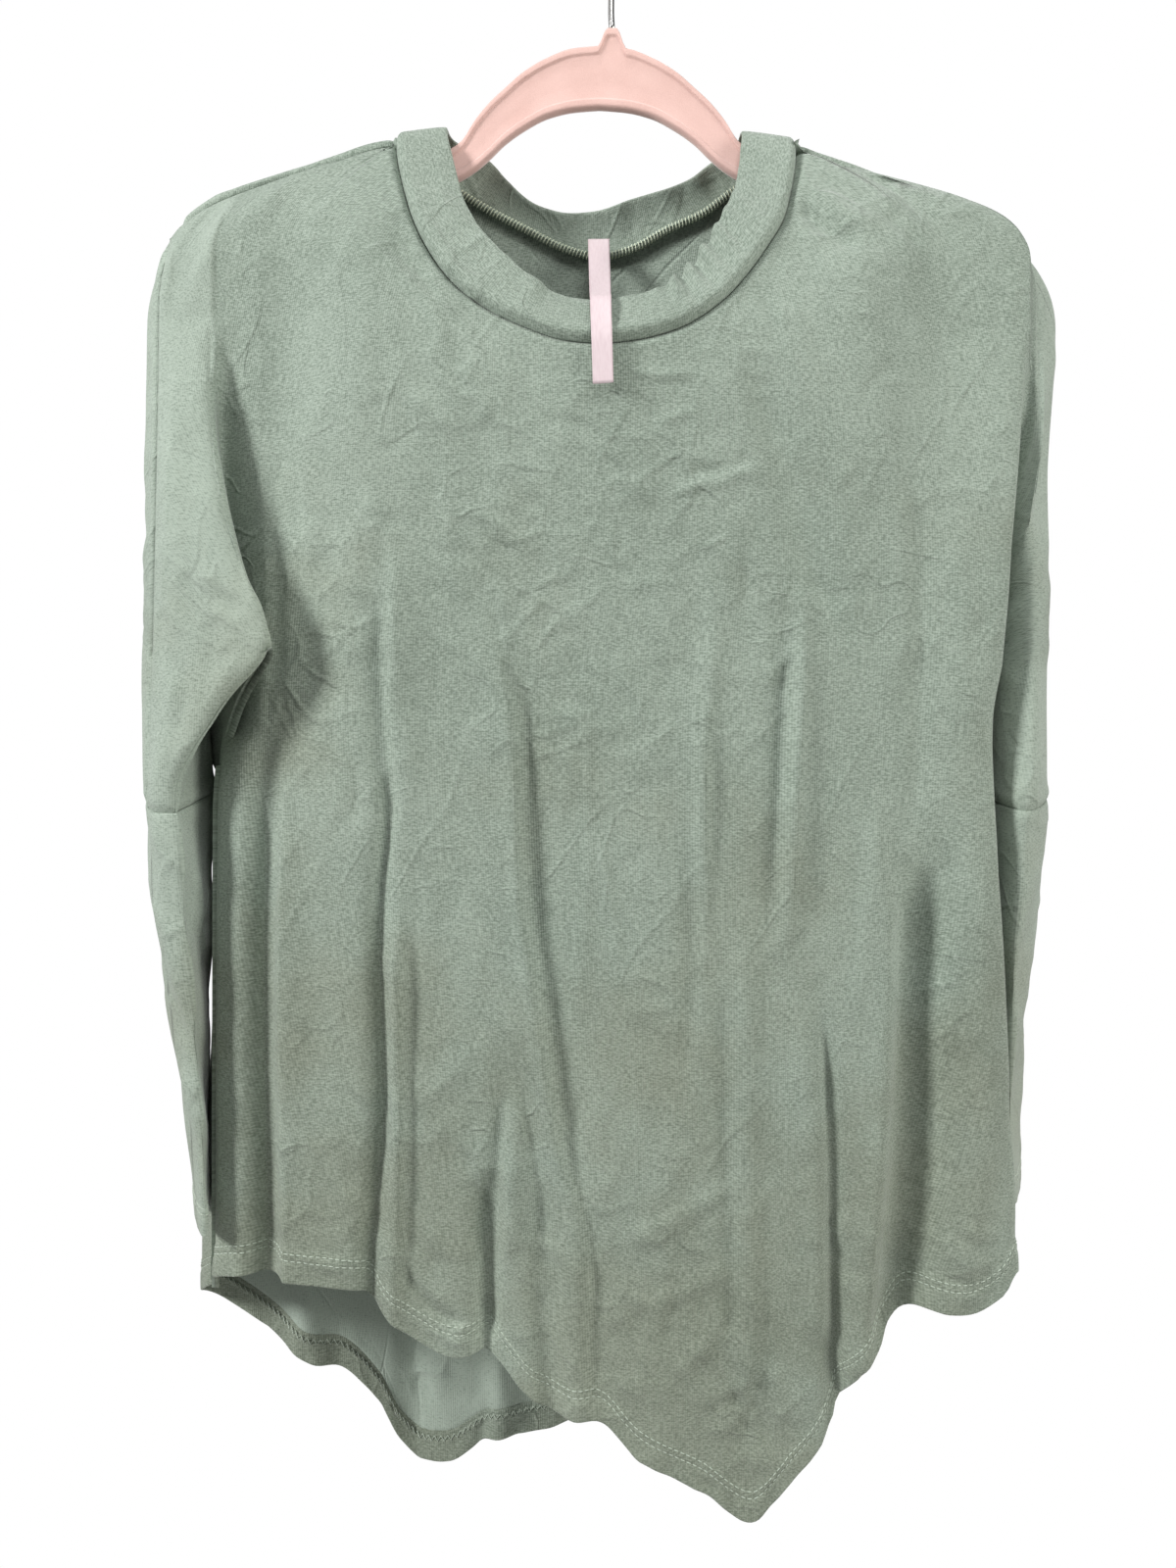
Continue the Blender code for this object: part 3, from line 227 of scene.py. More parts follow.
UNDER = (
    Under(-0.235, -0.2375, -0.0035, -0.2345, 0.0110, -0.2270, 0.0180, -0.2235, 0.0195,
          -0.2200, 0.0205, -0.2185, 0.0215, -0.2150, 0.0230, -0.1800, 0.0250),
    Under(-0.270, -0.2380, -0.0040, -0.2355, 0.0150, -0.2270, 0.0210, -0.2235, 0.0200,
          -0.2190, 0.0170, -0.2155, 0.0190, -0.2130, 0.0250, -0.1810, 0.0285),
    Under(-0.310, -0.2380, -0.0050, -0.2350, 0.0190, -0.2235, 0.0190, -0.2175, 0.0125,
          -0.2110, 0.0060, -0.2075, 0.0110, -0.2105, 0.0270, -0.1800, 0.0315),
    Under(-0.350, -0.2378, -0.0050, -0.2325, 0.0250, -0.2160, 0.0130, -0.2090, -0.0030,
          -0.1960, -0.0130, -0.2000, 0.0020, -0.2068, 0.0285, -0.1780, 0.0330),
    Under(-0.380, -0.2376, -0.0050, -0.2305, 0.0290, -0.2125, 0.0090, -0.2075, -0.0120,
          -0.1800, -0.0300, -0.1985, -0.0060, -0.2035, 0.0290, -0.1740, 0.0335),
    Under(-0.406, -0.2375, -0.0050, -0.2290, 0.0330, -0.2100, 0.0060, -0.2060, -0.0190,
          -0.1625, -0.0462, -0.1980, -0.0090, -0.2005, 0.0290, -0.1700, 0.0335),
    Under(-0.440, -0.2372, -0.0040, -0.2270, 0.0390, -0.2070, 0.0080, -0.2062, -0.0200,
          -0.1872, -0.0443, -0.1985, -0.0010, -0.1955, 0.0280, -0.1680, 0.0330),
    Under(-0.479, -0.2368, -0.0020, -0.2240, 0.0450, -0.2062, 0.0120, -0.2066, -0.0150,
          -0.2084, -0.0383, -0.1990, 0.0000, -0.1972, 0.0270, -0.1680, 0.0325),
    Under(-0.600, -0.2368, -0.0020, -0.2240, 0.0450, -0.2068, 0.0120, -0.2066, -0.0150,
          -0.2084, -0.0383, -0.2000, 0.0020, -0.2032, 0.0270, -0.1720, 0.0320),
    Under(-0.730, -0.2368, -0.0020, -0.2240, 0.0450, -0.2068, 0.0120, -0.2066, -0.0150,
          -0.2084, -0.0383, -0.2020, 0.0020, -0.2100, 0.0250, -0.1760, 0.0300),
)


class SideSeam(NamedTuple):
    """Where the side seam runs below the armpit, and how the two edges stand there."""

    z: float
    x: float
    y: float
    turn: float


SIDE_SEAM = (
    SideSeam(-0.406, -0.1625, -0.0455, 45.0),
    SideSeam(-0.430, -0.1815, -0.0290, 30.0),
    SideSeam(-0.443, -0.1890, -0.0205, 5.0),
    SideSeam(-0.455, -0.1955, -0.0130, -20.0),
    SideSeam(-0.490, -0.1985, -0.0110, -80.0),
    SideSeam(-0.730, -0.1990, -0.0110, -90.0),
)


class OuterSeam(NamedTuple):
    """The seam along the sleeve's outer edge, left and right."""

    z: float
    left_x: float
    left_y: float
    right_x: float
    right_y: float


OUTER_SEAM = (
    OuterSeam(-0.235, -0.2270, -0.0165, 0.2362, 0.0100),
    OuterSeam(-0.300, -0.2262, -0.0220, 0.2360, 0.0120),
    OuterSeam(-0.400, -0.2268, -0.0260, 0.2356, 0.0140),
    OuterSeam(-0.490, -0.2285, -0.0280, 0.2350, 0.0160),
)


class EdgeOut(NamedTuple):
    """How much further out the back's left edge stands than the front's right edge."""

    z: float
    out: float


EDGE_OUT = (
    EdgeOut(-0.408, 0.0000), EdgeOut(-0.426, 0.0130), EdgeOut(-0.437, 0.0190), EdgeOut(-0.450, 0.0188),
    EdgeOut(-0.458, 0.0170), EdgeOut(-0.470, 0.0105), EdgeOut(-0.479, 0.0096), EdgeOut(-0.600, 0.0085),
    EdgeOut(-0.730, 0.0060),
)


class Shoulder(NamedTuple):
    """Top outline of the cloth over the hanger."""

    x: float
    z: float


SHOULDER = (
    Shoulder(-0.2239, -0.1838), Shoulder(-0.2177, -0.1762), Shoulder(-0.2090, -0.1692),
    Shoulder(-0.1971, -0.1628), Shoulder(-0.1718, -0.1540), Shoulder(-0.1450, -0.1458),
    Shoulder(-0.1048, -0.1345), Shoulder(0.1006, -0.1372), Shoulder(0.1145, -0.1420),
    Shoulder(0.1460, -0.1532), Shoulder(0.1743, -0.1645), Shoulder(0.1975, -0.1752),
    Shoulder(0.2104, -0.1830), Shoulder(0.2182, -0.1905), Shoulder(0.2259, -0.1992),
)


class Neck(NamedTuple):
    """A station round the neck: the band's sewn edge and its folded edge."""

    seam_x: float
    seam_y: float
    seam_z: float
    edge_x: float
    edge_y: float
    edge_z: float


NECK_FRONT = (
    Neck(-0.1048, -0.0030, -0.1364, -0.0800, -0.0010, -0.1283),
    Neck(-0.0957, -0.0220, -0.1796, -0.0716, -0.0145, -0.1665),
    Neck(-0.0852, -0.0300, -0.2036, -0.0650, -0.0215, -0.1830),
    Neck(-0.0717, -0.0360, -0.2229, -0.0540, -0.0275, -0.1995),
    Neck(-0.0545, -0.0400, -0.2371, -0.0420, -0.0310, -0.2135),
    Neck(-0.0369, -0.0430, -0.2465, -0.0290, -0.0330, -0.2240),
    Neck(-0.0206, -0.0450, -0.2530, -0.0165, -0.0340, -0.2295),
    Neck(-0.0052, -0.0460, -0.2553, -0.0040, -0.0340, -0.2318),
    Neck(0.0086, -0.0460, -0.2548, 0.0085, -0.0340, -0.2322),
    Neck(0.0235, -0.0450, -0.2521, 0.0210, -0.0340, -0.2280),
    Neck(0.0413, -0.0430, -0.2455, 0.0345, -0.0330, -0.2225),
    Neck(0.0589, -0.0400, -0.2328, 0.0465, -0.0300, -0.2095),
    Neck(0.0711, -0.0360, -0.2190, 0.0570, -0.0255, -0.1935),
    Neck(0.0841, -0.0300, -0.1997, 0.0660, -0.0200, -0.1746),
    Neck(0.0933, -0.0220, -0.1816, 0.0705, -0.0125, -0.1600),
    Neck(0.1006, -0.0030, -0.1390, 0.0743, -0.0010, -0.1290),
)
NECK_BACK = (
    Neck(0.0925, 0.0120, -0.1430, 0.0722, 0.0100, -0.1315),
    Neck(0.0730, 0.0205, -0.1510, 0.0600, 0.0175, -0.1370),
    Neck(0.0566, 0.0235, -0.1620, 0.0460, 0.0200, -0.1455),
    Neck(0.0360, 0.0260, -0.1705, 0.0290, 0.0220, -0.1505),
    Neck(0.0190, 0.0270, -0.1795, 0.0150, 0.0225, -0.1545),
    Neck(0.0000, 0.0272, -0.1842, -0.0010, 0.0225, -0.1600),
    Neck(-0.0200, 0.0270, -0.1795, -0.0190, 0.0225, -0.1610),
    Neck(-0.0400, 0.0260, -0.1700, -0.0360, 0.0220, -0.1560),
    Neck(-0.0600, 0.0240, -0.1605, -0.0500, 0.0200, -0.1450),
    Neck(-0.0800, 0.0200, -0.1500, -0.0620, 0.0170, -0.1335),
    Neck(-0.0975, 0.0120, -0.1425, -0.0775, 0.0100, -0.1290),
)


class Hem(NamedTuple):
    """A point of the hem: distance across the cloth, measured round the body's sides, and height."""

    across: float
    z: float


FRONT_HEM = (
    Hem(-0.2140, -0.7330), Hem(-0.2000, -0.7240), Hem(-0.1800, -0.7196), Hem(-0.1580, -0.7211),
    Hem(-0.1190, -0.7250), Hem(-0.1080, -0.7370), Hem(-0.0703, -0.7575), Hem(-0.0585, -0.7560),
    Hem(-0.0316, -0.7815), Hem(-0.0194, -0.7872), Hem(-0.0030, -0.7885), Hem(0.0197, -0.8090),
    Hem(0.0510, -0.8253), Hem(0.0755, -0.8405), Hem(0.0941, -0.8209), Hem(0.1088, -0.8033),
    Hem(0.1210, -0.7764), Hem(0.1357, -0.7593), Hem(0.1600, -0.7345), Hem(0.1860, -0.7372),
    Hem(0.2020, -0.7290), Hem(0.2100, -0.7180), Hem(0.2480, -0.7330),
)
BACK_HEM = (
    Hem(-0.2480, -0.7330), Hem(-0.2140, -0.7510), Hem(-0.1924, -0.7640), Hem(-0.1548, -0.7890),
    Hem(-0.1430, -0.7915), Hem(-0.1216, -0.8120), Hem(-0.1092, -0.8360), Hem(-0.0980, -0.8455),
    Hem(-0.0824, -0.8440), Hem(-0.0599, -0.8305), Hem(-0.0282, -0.8270), Hem(0.0100, -0.8080),
    Hem(0.0600, -0.7930), Hem(0.1100, -0.7740), Hem(0.1600, -0.7530), Hem(0.2140, -0.7330),
)


class Body(NamedTuple):
    """Depth of the body's front and back faces at its middle."""

    z: float
    front_y: float
    back_y: float


BODY = (
    Body(-0.150, -0.0300, 0.0240), Body(-0.260, -0.0440, 0.0290), Body(-0.330, -0.0410, 0.0310),
    Body(-0.450, -0.0370, 0.0320), Body(-0.600, -0.0360, 0.0320), Body(-0.750, -0.0340, 0.0300),
    Body(-0.850, -0.0320, 0.0280),
)


class Ring(NamedTuple):
    """A level of a lower sleeve: its box seen from above, left sleeve."""

    share: float
    out_x: float
    in_x: float
    front_y: float
    back_y: float
    lean: float


LEFT_RINGS = (
    Ring(0.00, -0.2368, -0.2065, -0.0400, 0.0470, 0.00),
    Ring(0.17, -0.2350, -0.2065, -0.0400, 0.0460, 0.06),
    Ring(0.35, -0.2310, -0.2065, -0.0390, 0.0450, 0.14),
    Ring(0.55, -0.2250, -0.2065, -0.0380, 0.0440, 0.22),
    Ring(0.80, -0.2170, -0.2065, -0.0360, 0.0430, 0.30),
    Ring(1.00, -0.2130, -0.2065, -0.0350, 0.0430, 0.33),
)
RIGHT_RINGS = (
    Ring(0.00, -0.2368, -0.2065, -0.0400, 0.0300, 0.00),
    Ring(0.17, -0.2350, -0.2070, -0.0440, 0.0260, -0.06),
    Ring(0.35, -0.2310, -0.2080, -0.0480, 0.0230, -0.14),
    Ring(0.55, -0.2260, -0.2100, -0.0520, 0.0210, -0.22),
    Ring(0.80, -0.2225, -0.2120, -0.0540, 0.0190, -0.30),
    Ring(1.00, -0.2215, -0.2130, -0.0550, 0.0180, -0.33),
)


# ================================================================ folds
class Ends(Enum):
    """Where a fold fades out."""

    BOTH = "both"
    TOP = "top"


class Fold(NamedTuple):
    """A fold or crease on a face, lengths in millimetres; a positive depth stands out.

    The path runs from its first point to its last, and left and right are as seen going down it
    with the face in front of the viewer.
    """

    path: tuple[tuple[float, float], ...]
    left: float
    right: float
    depth: float
    ends: Ends = Ends.BOTH
    sharpness: float = 2.0


FADE_SHARE = 0.28
FOLD_REACH = 2.6
FRONT_FOLDS = (
    # long folds down the body, from the left
    Fold(((-171, -422), (-171, -520), (-171, -620), (-170, -740)), 8, 9, -9.5, Ends.TOP),
    Fold(((-184, -430), (-183, -560), (-182, -740)), 6, 6, 3.0, Ends.TOP),
    Fold(((-160, -470), (-159, -560), (-159, -650), (-158, -740)), 4, 12, 4.5, Ends.TOP, 1.6),
    Fold(((-155, -338), (-156, -390), (-157, -450)), 4, 9, 1.6),
    Fold(((-150, -290), (-146, -340), (-146, -400)), 3, 7, 1.2),
    Fold(((-102, -338), (-102, -425), (-100, -482), (-98, -505)), 4, 11, 4.0, Ends.BOTH, 1.5),
    Fold(((-110, -372), (-109, -440), (-109, -500)), 6, 5, -2.5),
    Fold(((-103, -396), (-103, -473), (-109, -528), (-108, -637), (-111, -668), (-114, -707), (-113, -760)),
         5, 4, -6.0, Ends.TOP, 1.6),
    Fold(((-98, -510), (-101, -560), (-100, -637), (-102, -690), (-104, -750)), 4, 6, 3.6, Ends.TOP, 1.6),
    Fold(((-93, -520), (-95, -600), (-96, -720)), 4, 5, -2.2, Ends.TOP),
    Fold(((-78, -362), (-62, -385), (-52, -409), (-43, -450), (-41, -516), (-32, -577), (-20, -662),
          (-11, -688), (-7, -726)), 11, 3, 4.4, Ends.BOTH, 1.4),
    Fold(((-70, -372), (-50, -395), (-38, -425), (-36, -520), (-26, -585), (-14, -665), (-4, -700),
          (-5, -760)), 4, 9, -2.2, Ends.TOP, 1.7),
    Fold(((-44, -604), (-50, -650), (-55, -745)), 5, 4, -3.2, Ends.TOP, 1.4),
    Fold(((-44, -604), (-34, -650), (-26, -710)), 4, 6, -2.4, Ends.BOTH, 1.4),
    Fold(((-42, -612), (-44, -660), (-46, -720)), 6, 6, 3.6, Ends.BOTH),
    Fold(((-57, -664), (-58, -700), (-58, -760)), 5, 7, -6.5, Ends.TOP, 1.6),
    Fold(((-31, -664), (-29, -720), (-25, -790)), 7, 7, -3.6, Ends.TOP),
    Fold(((-16, -690), (-12, -740), (-12, -800)), 6, 7, 3.0, Ends.TOP),
    Fold(((-6, -449), (-6, -487)), 2.5, 2.5, 0.7),
    Fold(((-1, -487), (-9, -540), (-12, -600)), 3, 5, 1.0),
    Fold(((-1, -487), (5, -530), (10, -575)), 4, 3, 1.0),
    Fold(((3, -401), (18, -430), (34, -463)), 3, 6, 1.2),
    Fold(((58, -377), (54, -415), (51, -453), (48, -511), (47, -549)), 7, 5, 3.0, Ends.BOTH, 1.7),
    Fold(((51, -425), (50, -480), (51, -562)), 2.5, 3, 1.2, Ends.BOTH, 1.6),
    Fold(((44, -470), (45, -560), (42, -640)), 5, 5, -2.0),
    Fold(((66, -520), (72, -568), (73, -664), (75, -760)), 9, 6, 3.0, Ends.TOP),
    Fold(((60, -560), (63, -640), (66, -740)), 5, 5, -2.4, Ends.TOP),
    Fold(((99, -357), (99, -396), (95, -472), (89, -570)), 3, 9, 4.2, Ends.BOTH, 1.4),
    Fold(((92, -372), (91, -420), (88, -480), (82, -560)), 5, 4, -2.0, Ends.BOTH, 1.6),
    Fold(((106, -554), (113, -616), (116, -712), (119, -780)), 5, 4, -5.0, Ends.TOP, 1.5),
    Fold(((100, -580), (105, -640), (108, -740)), 6, 7, 2.6, Ends.TOP),
    Fold(((123, -463), (140, -520), (142, -592), (136, -690), (130, -760)), 8, 6, 4.0, Ends.TOP),
    Fold(((138, -470), (132, -540), (126, -600)), 4, 6, 2.0),
    Fold(((170, -480), (160, -560), (157, -664), (149, -740)), 13, 12, -10.0, Ends.TOP, 2.4),
    Fold(((188, -470), (187, -560), (186, -664), (176, -740)), 12, 9, 4.0, Ends.TOP),
    Fold(((178, -330), (181, -400), (184, -470)), 7, 8, 2.4),
    Fold(((163, -330), (160, -400), (158, -470), (152, -520)), 6, 5, -2.0),
    Fold(((150, -300), (148, -380), (143, -450)), 7, 6, 1.4),
    Fold(((69, -240), (84, -291), (99, -339), (113, -386), (128, -420)), 13, 10, -4.5, Ends.BOTH, 2.0),
    Fold(((56, -262), (74, -300), (90, -345)), 10, 8, 1.6),
    # crisp ridges along them
    Fold(((-103, -394), (-103, -450), (-104, -518)), 2.2, 2.4, 1.3, Ends.BOTH, 1.4),
    Fold(((-103, -516), (-101, -600), (-100, -698)), 2.2, 2.4, 1.2, Ends.BOTH, 1.4),
    Fold(((-80, -384), (-55, -419), (-44, -466), (-42, -525), (-33, -592), (-23, -670)),
         2.6, 2.2, 1.5, Ends.BOTH, 1.4),
    Fold(((-6, -418), (-7, -476), (-6, -534)), 2.2, 2.2, 0.8, Ends.BOTH, 1.4),
    Fold(((51, -442), (52, -525), (49, -628)), 2.2, 2.4, 1.1, Ends.BOTH, 1.4),
    Fold(((102, -378), (99, -440), (95, -516), (92, -574)), 2.2, 2.6, 1.8, Ends.BOTH, 1.4),
    Fold(((-161, -438), (-158, -516), (-165, -628)), 2.4, 2.2, 1.1, Ends.BOTH, 1.4),
    Fold(((67, -550), (72, -612)), 2.4, 2.4, 0.8, Ends.BOTH, 1.4),
    Fold(((110, -574), (110, -630), (115, -698)), 2.2, 2.4, 1.0, Ends.BOTH, 1.4),
    # neck and shoulders
    Fold(((101, -172), (113, -192), (132, -208)), 5, 5, -3.6, Ends.BOTH, 1.7),
    Fold(((108, -168), (124, -186), (142, -196)), 5, 6, 2.6),
    Fold(((144, -181), (153, -194), (162, -202)), 4, 5, -2.6),
    Fold(((85, -230), (94, -262), (104, -291)), 3, 3, 1.2, Ends.BOTH, 1.6),
    Fold(((93, -236), (103, -268), (112, -296)), 3, 3, 1.0, Ends.BOTH, 1.6),
    Fold(((78, -226), (90, -258)), 3, 3, -1.2),
    Fold(((-119, -198), (-108, -210), (-87, -233), (-72, -268)), 3, 4, 1.6, Ends.BOTH, 1.5),
    Fold(((-128, -206), (-112, -226), (-94, -252)), 4, 4, 1.0),
    Fold(((-104, -200), (-92, -218), (-76, -236)), 3, 3, -1.0),
    Fold(((-87, -258), (-77, -268), (-62, -276)), 2.5, 3, 1.6, Ends.BOTH, 1.4),
    Fold(((-84, -268), (-72, -280), (-56, -286)), 2.5, 3, 1.6, Ends.BOTH, 1.4),
    Fold(((-76, -262), (-70, -274), (-66, -288)), 2.5, 3, -1.4, Ends.BOTH, 1.4),
    Fold(((-66, -270), (-58, -282), (-52, -298)), 3, 3, 1.4, Ends.BOTH, 1.4),
    Fold(((-92, -280), (-82, -292), (-68, -300)), 3, 3, 1.2, Ends.BOTH, 1.4),
    Fold(((28, -333), (48, -326), (84, -316)), 3, 2.5, 1.5, Ends.BOTH, 1.4),
    Fold(((37, -324), (58, -317), (80, -312)), 2.5, 3, -0.9),
    Fold(((25, -297), (38, -292), (50, -289)), 2.5, 2.5, 1.1),
    Fold(((10, -270), (28, -273), (49, -271)), 2.5, 3, 1.2),
    Fold(((-75, -334), (-49, -345), (-31, -363)), 3, 3, 1.4, Ends.BOTH, 1.4),
    Fold(((-77, -360), (-72, -372), (-64, -384)), 3, 3, 1.1),
    Fold(((-56, -371), (-48, -380), (-42, -390)), 3, 3, 1.0),
    Fold(((-35, -440), (-20, -441), (-6, -440)), 2, 2.5, 0.8),
    Fold(((0, -459), (9, -460), (18, -458)), 2, 2.5, 0.8),
    Fold(((79, -420), (86, -414)), 2.2, 2.5, 1.4),
    Fold(((78, -428), (92, -410), (98, -400)), 3, 3, 1.2),
    # low front
    Fold(((3, -707), (30, -692), (70, -671)), 4, 4, 1.6),
    Fold(((18, -736), (44, -724), (70, -712)), 4, 4, 1.5),
    Fold(((-4, -745), (10, -738), (26, -726)), 3, 4, 1.2),
    Fold(((30, -770), (52, -752), (66, -728)), 4, 4, 1.5),
    Fold(((40, -782), (62, -776), (84, -762)), 3, 4, 1.8, Ends.BOTH, 1.5),
    Fold(((52, -800), (66, -790), (78, -772)), 3, 3, 1.6, Ends.BOTH, 1.5),
    Fold(((62, -770), (72, -790), (76, -806)), 3, 3, -1.6, Ends.BOTH, 1.5),
    Fold(((84, -758), (90, -778), (92, -796)), 3, 4, 1.6),
    Fold(((-100, -700), (-88, -722), (-70, -736)), 4, 4, 1.8),
    Fold(((-96, -716), (-80, -736), (-62, -744)), 3, 4, -1.4),
    Fold(((170, -700), (184, -712), (198, -714)), 3, 4, 1.8, Ends.BOTH, 1.5),
    Fold(((166, -714), (180, -722), (194, -724)), 3, 3, -1.4),
    Fold(((176, -690), (190, -698), (200, -700)), 3, 3, 1.2),
    Fold(((-150, -706), (-138, -712), (-124, -712)), 3, 3, 1.2),
)
LEFT_WING_FOLDS = (
    Fold(((-206, -218), (-190, -268), (-181, -338), (-170, -400)), 9, 4, -3.4, Ends.BOTH, 1.6),
    Fold(((-215, -230), (-212, -330), (-208, -440)), 8, 7, 2.0),
    Fold(((-190, -372), (-182, -384), (-176, -396)), 3, 4, -2.2, Ends.BOTH, 1.5),
    Fold(((-198, -366), (-186, -376), (-176, -380)), 3, 3, 1.6, Ends.BOTH, 1.5),
    Fold(((-196, -392), (-184, -390), (-172, -398)), 3, 4, 1.6),
    Fold(((-189, -386), (-191, -404), (-190, -424)), 2.5, 3, -1.6, Ends.BOTH, 1.5),
    Fold(((-204, -330), (-194, -332), (-184, -346)), 3, 3, 1.0),
    Fold(((-170, -408), (-184, -424), (-198, -446)), 4, 3, 1.8, Ends.BOTH, 1.5),
    Fold(((-210, -404), (-204, -430), (-210, -458)), 4, 4, -1.6),
)
BACK_FOLDS = (
    Fold(((-150, -380), (-156, -560), (-163, -900)), 10, 12, -7.0, Ends.TOP),
    Fold(((-112, -340), (-104, -560), (-102, -900)), 14, 9, 5.0, Ends.TOP, 1.7),
    Fold(((-62, -420), (-56, -620), (-52, -900)), 9, 12, -6.0, Ends.TOP),
    Fold(((-22, -300), (-14, -560), (-8, -900)), 13, 15, 4.5, Ends.TOP, 1.8),
    Fold(((30, -380), (36, -620), (40, -900)), 12, 10, -5.5, Ends.TOP),
    Fold(((78, -330), (88, -600), (96, -900)), 10, 14, 5.0, Ends.TOP, 1.7),
    Fold(((128, -400), (134, -620), (144, -900)), 10, 9, -7.0, Ends.TOP),
    Fold(((-80, -190), (-100, -240), (-128, -300)), 8, 7, 2.0),
    Fold(((84, -186), (104, -240), (136, -296)), 8, 8, -2.2),
    Fold(((-40, -210), (-52, -270), (-58, -330)), 9, 9, 1.6),
    Fold(((46, -206), (52, -260), (50, -330)), 8, 9, 1.6),
    Fold(((-90, -196), (0, -214), (92, -194)), 7, 7, -1.4),
    Fold(((-70, -300), (0, -316), (60, -296)), 4, 5, 1.2),
    Fold(((-128, -420), (-90, -446), (-50, -452)), 4, 5, 1.3),
    Fold(((20, -470), (66, -452), (110, -420)), 4, 5, 1.3),
    Fold(((-40, -560), (-70, -600), (-88, -660)), 4, 6, 1.6),
    Fold(((60, -540), (86, -590), (100, -650)), 5, 4, 1.6),
)


def fold_height(fold: Fold, x: Array, z: Array) -> Array:
    """Height of one fold over the points of a face.

    Args:
        fold: the fold.
        x: distance of each point across the face, metres.
        z: height of each point, metres.

    Returns:
        How far the fold moves each point outwards, metres.
    """
    path = spline([np.array(p) * MM for p in fold.path], (6,) * (len(fold.path) - 1))
    reach = FOLD_REACH * MM * max(fold.left, fold.right)
    low, high = path.min(axis=0) - reach, path.max(axis=0) + reach
    near = np.flatnonzero((x > low[0]) & (x < high[0]) & (z > low[1]) & (z < high[1]))
    height = np.zeros(len(x))
    if len(near) == 0:
        return height
    run = np.diff(path, axis=0)
    length = np.linalg.norm(run, axis=1)
    dx, dz = x[near, None] - path[:-1, 0], z[near, None] - path[:-1, 1]
    t = np.clip((dx * run[:, 0] + dz * run[:, 1]) / length**2, 0.0, 1.0)
    ex, ez = dx - t * run[:, 0], dz - t * run[:, 1]
    off = np.hypot(ex, ez)
    k = off.argmin(axis=1)
    row = np.arange(len(near))
    on_right = ez[row, k] * run[k, 0] - ex[row, k] * run[k, 1] > 0.0
    width = np.where(on_right, fold.right, fold.left) * MM
    start = np.concatenate([[0.0], np.cumsum(length)])
    share = (start[k] + t[row, k] * length[k]) / start[-1]
    fade = smooth(share / FADE_SHARE)
    if fold.ends is Ends.BOTH:
        fade = fade * smooth((1.0 - share) / FADE_SHARE)
    height[near] = fold.depth * MM * np.exp(-((off[row, k] / width) ** fold.sharpness)) * fade
    return height


@dataclass(frozen=True)
class Creases:
    """Small creases scattered over a face; sizes in millimetres, directions in degrees from level."""

    seed: int
    count: int
    left: float
    right: float
    top: float
    bottom: float
    lengths: tuple[float, float] = (12.0, 42.0)
    widths: tuple[float, float] = (2.4, 4.6)
    depths: tuple[float, float] = (0.35, 1.0)
    direction: float = 90.0
    spread: float = 55.0

    def folds(self) -> list[Fold]:
        """The creases as folds.

        Returns:
            One fold for each crease.
        """
        rng = np.random.default_rng(self.seed)
        made = []
        for _ in range(self.count):
            centre = np.array([rng.uniform(self.left, self.right), rng.uniform(self.bottom, self.top)])
            angle = math.radians(self.direction + rng.uniform(-self.spread, self.spread))
            half = rng.uniform(*self.lengths) / 2
            run = np.array([math.cos(angle), -abs(math.sin(angle))]) * half
            bow = np.array([run[1], -run[0]]) * rng.uniform(-0.3, 0.3)
            path = tuple(tuple(float(v) for v in p) for p in (centre - run, centre + bow, centre + run))
            depth = rng.uniform(*self.depths) * (1 if rng.random() < 0.62 else -1)
            left, right = rng.uniform(*self.widths), rng.uniform(*self.widths)
            made.append(Fold(path, left, right, depth, Ends.BOTH, 1.6))
        return made


@dataclass(frozen=True)
class Drift:
    """Soft unevenness of hanging cloth: how far apart its swells lie, and how high they are."""

    seed: int
    across: float
    down: float
    height: float

    def at(self, u: Array, v: Array) -> Array:
        """Height of the swells at points u across and v down the cloth.

        Args:
            u: distance of each point across the cloth.
            v: distance of each point down it.

        Returns:
            A height for each point.
        """
        grid = np.random.default_rng(self.seed).uniform(-1.0, 1.0, (64, 64))
        a, b = u / self.across + 31.3, v / self.down + 31.7
        i, j = np.floor(a).astype(int), np.floor(b).astype(int)
        s, t = smooth(a - i), smooth(b - j)
        near = grid[i % 64, j % 64] * (1 - s) + grid[(i + 1) % 64, j % 64] * s
        far = grid[i % 64, (j + 1) % 64] * (1 - s) + grid[(i + 1) % 64, (j + 1) % 64] * s
        return self.height * (near * (1 - t) + far * t)


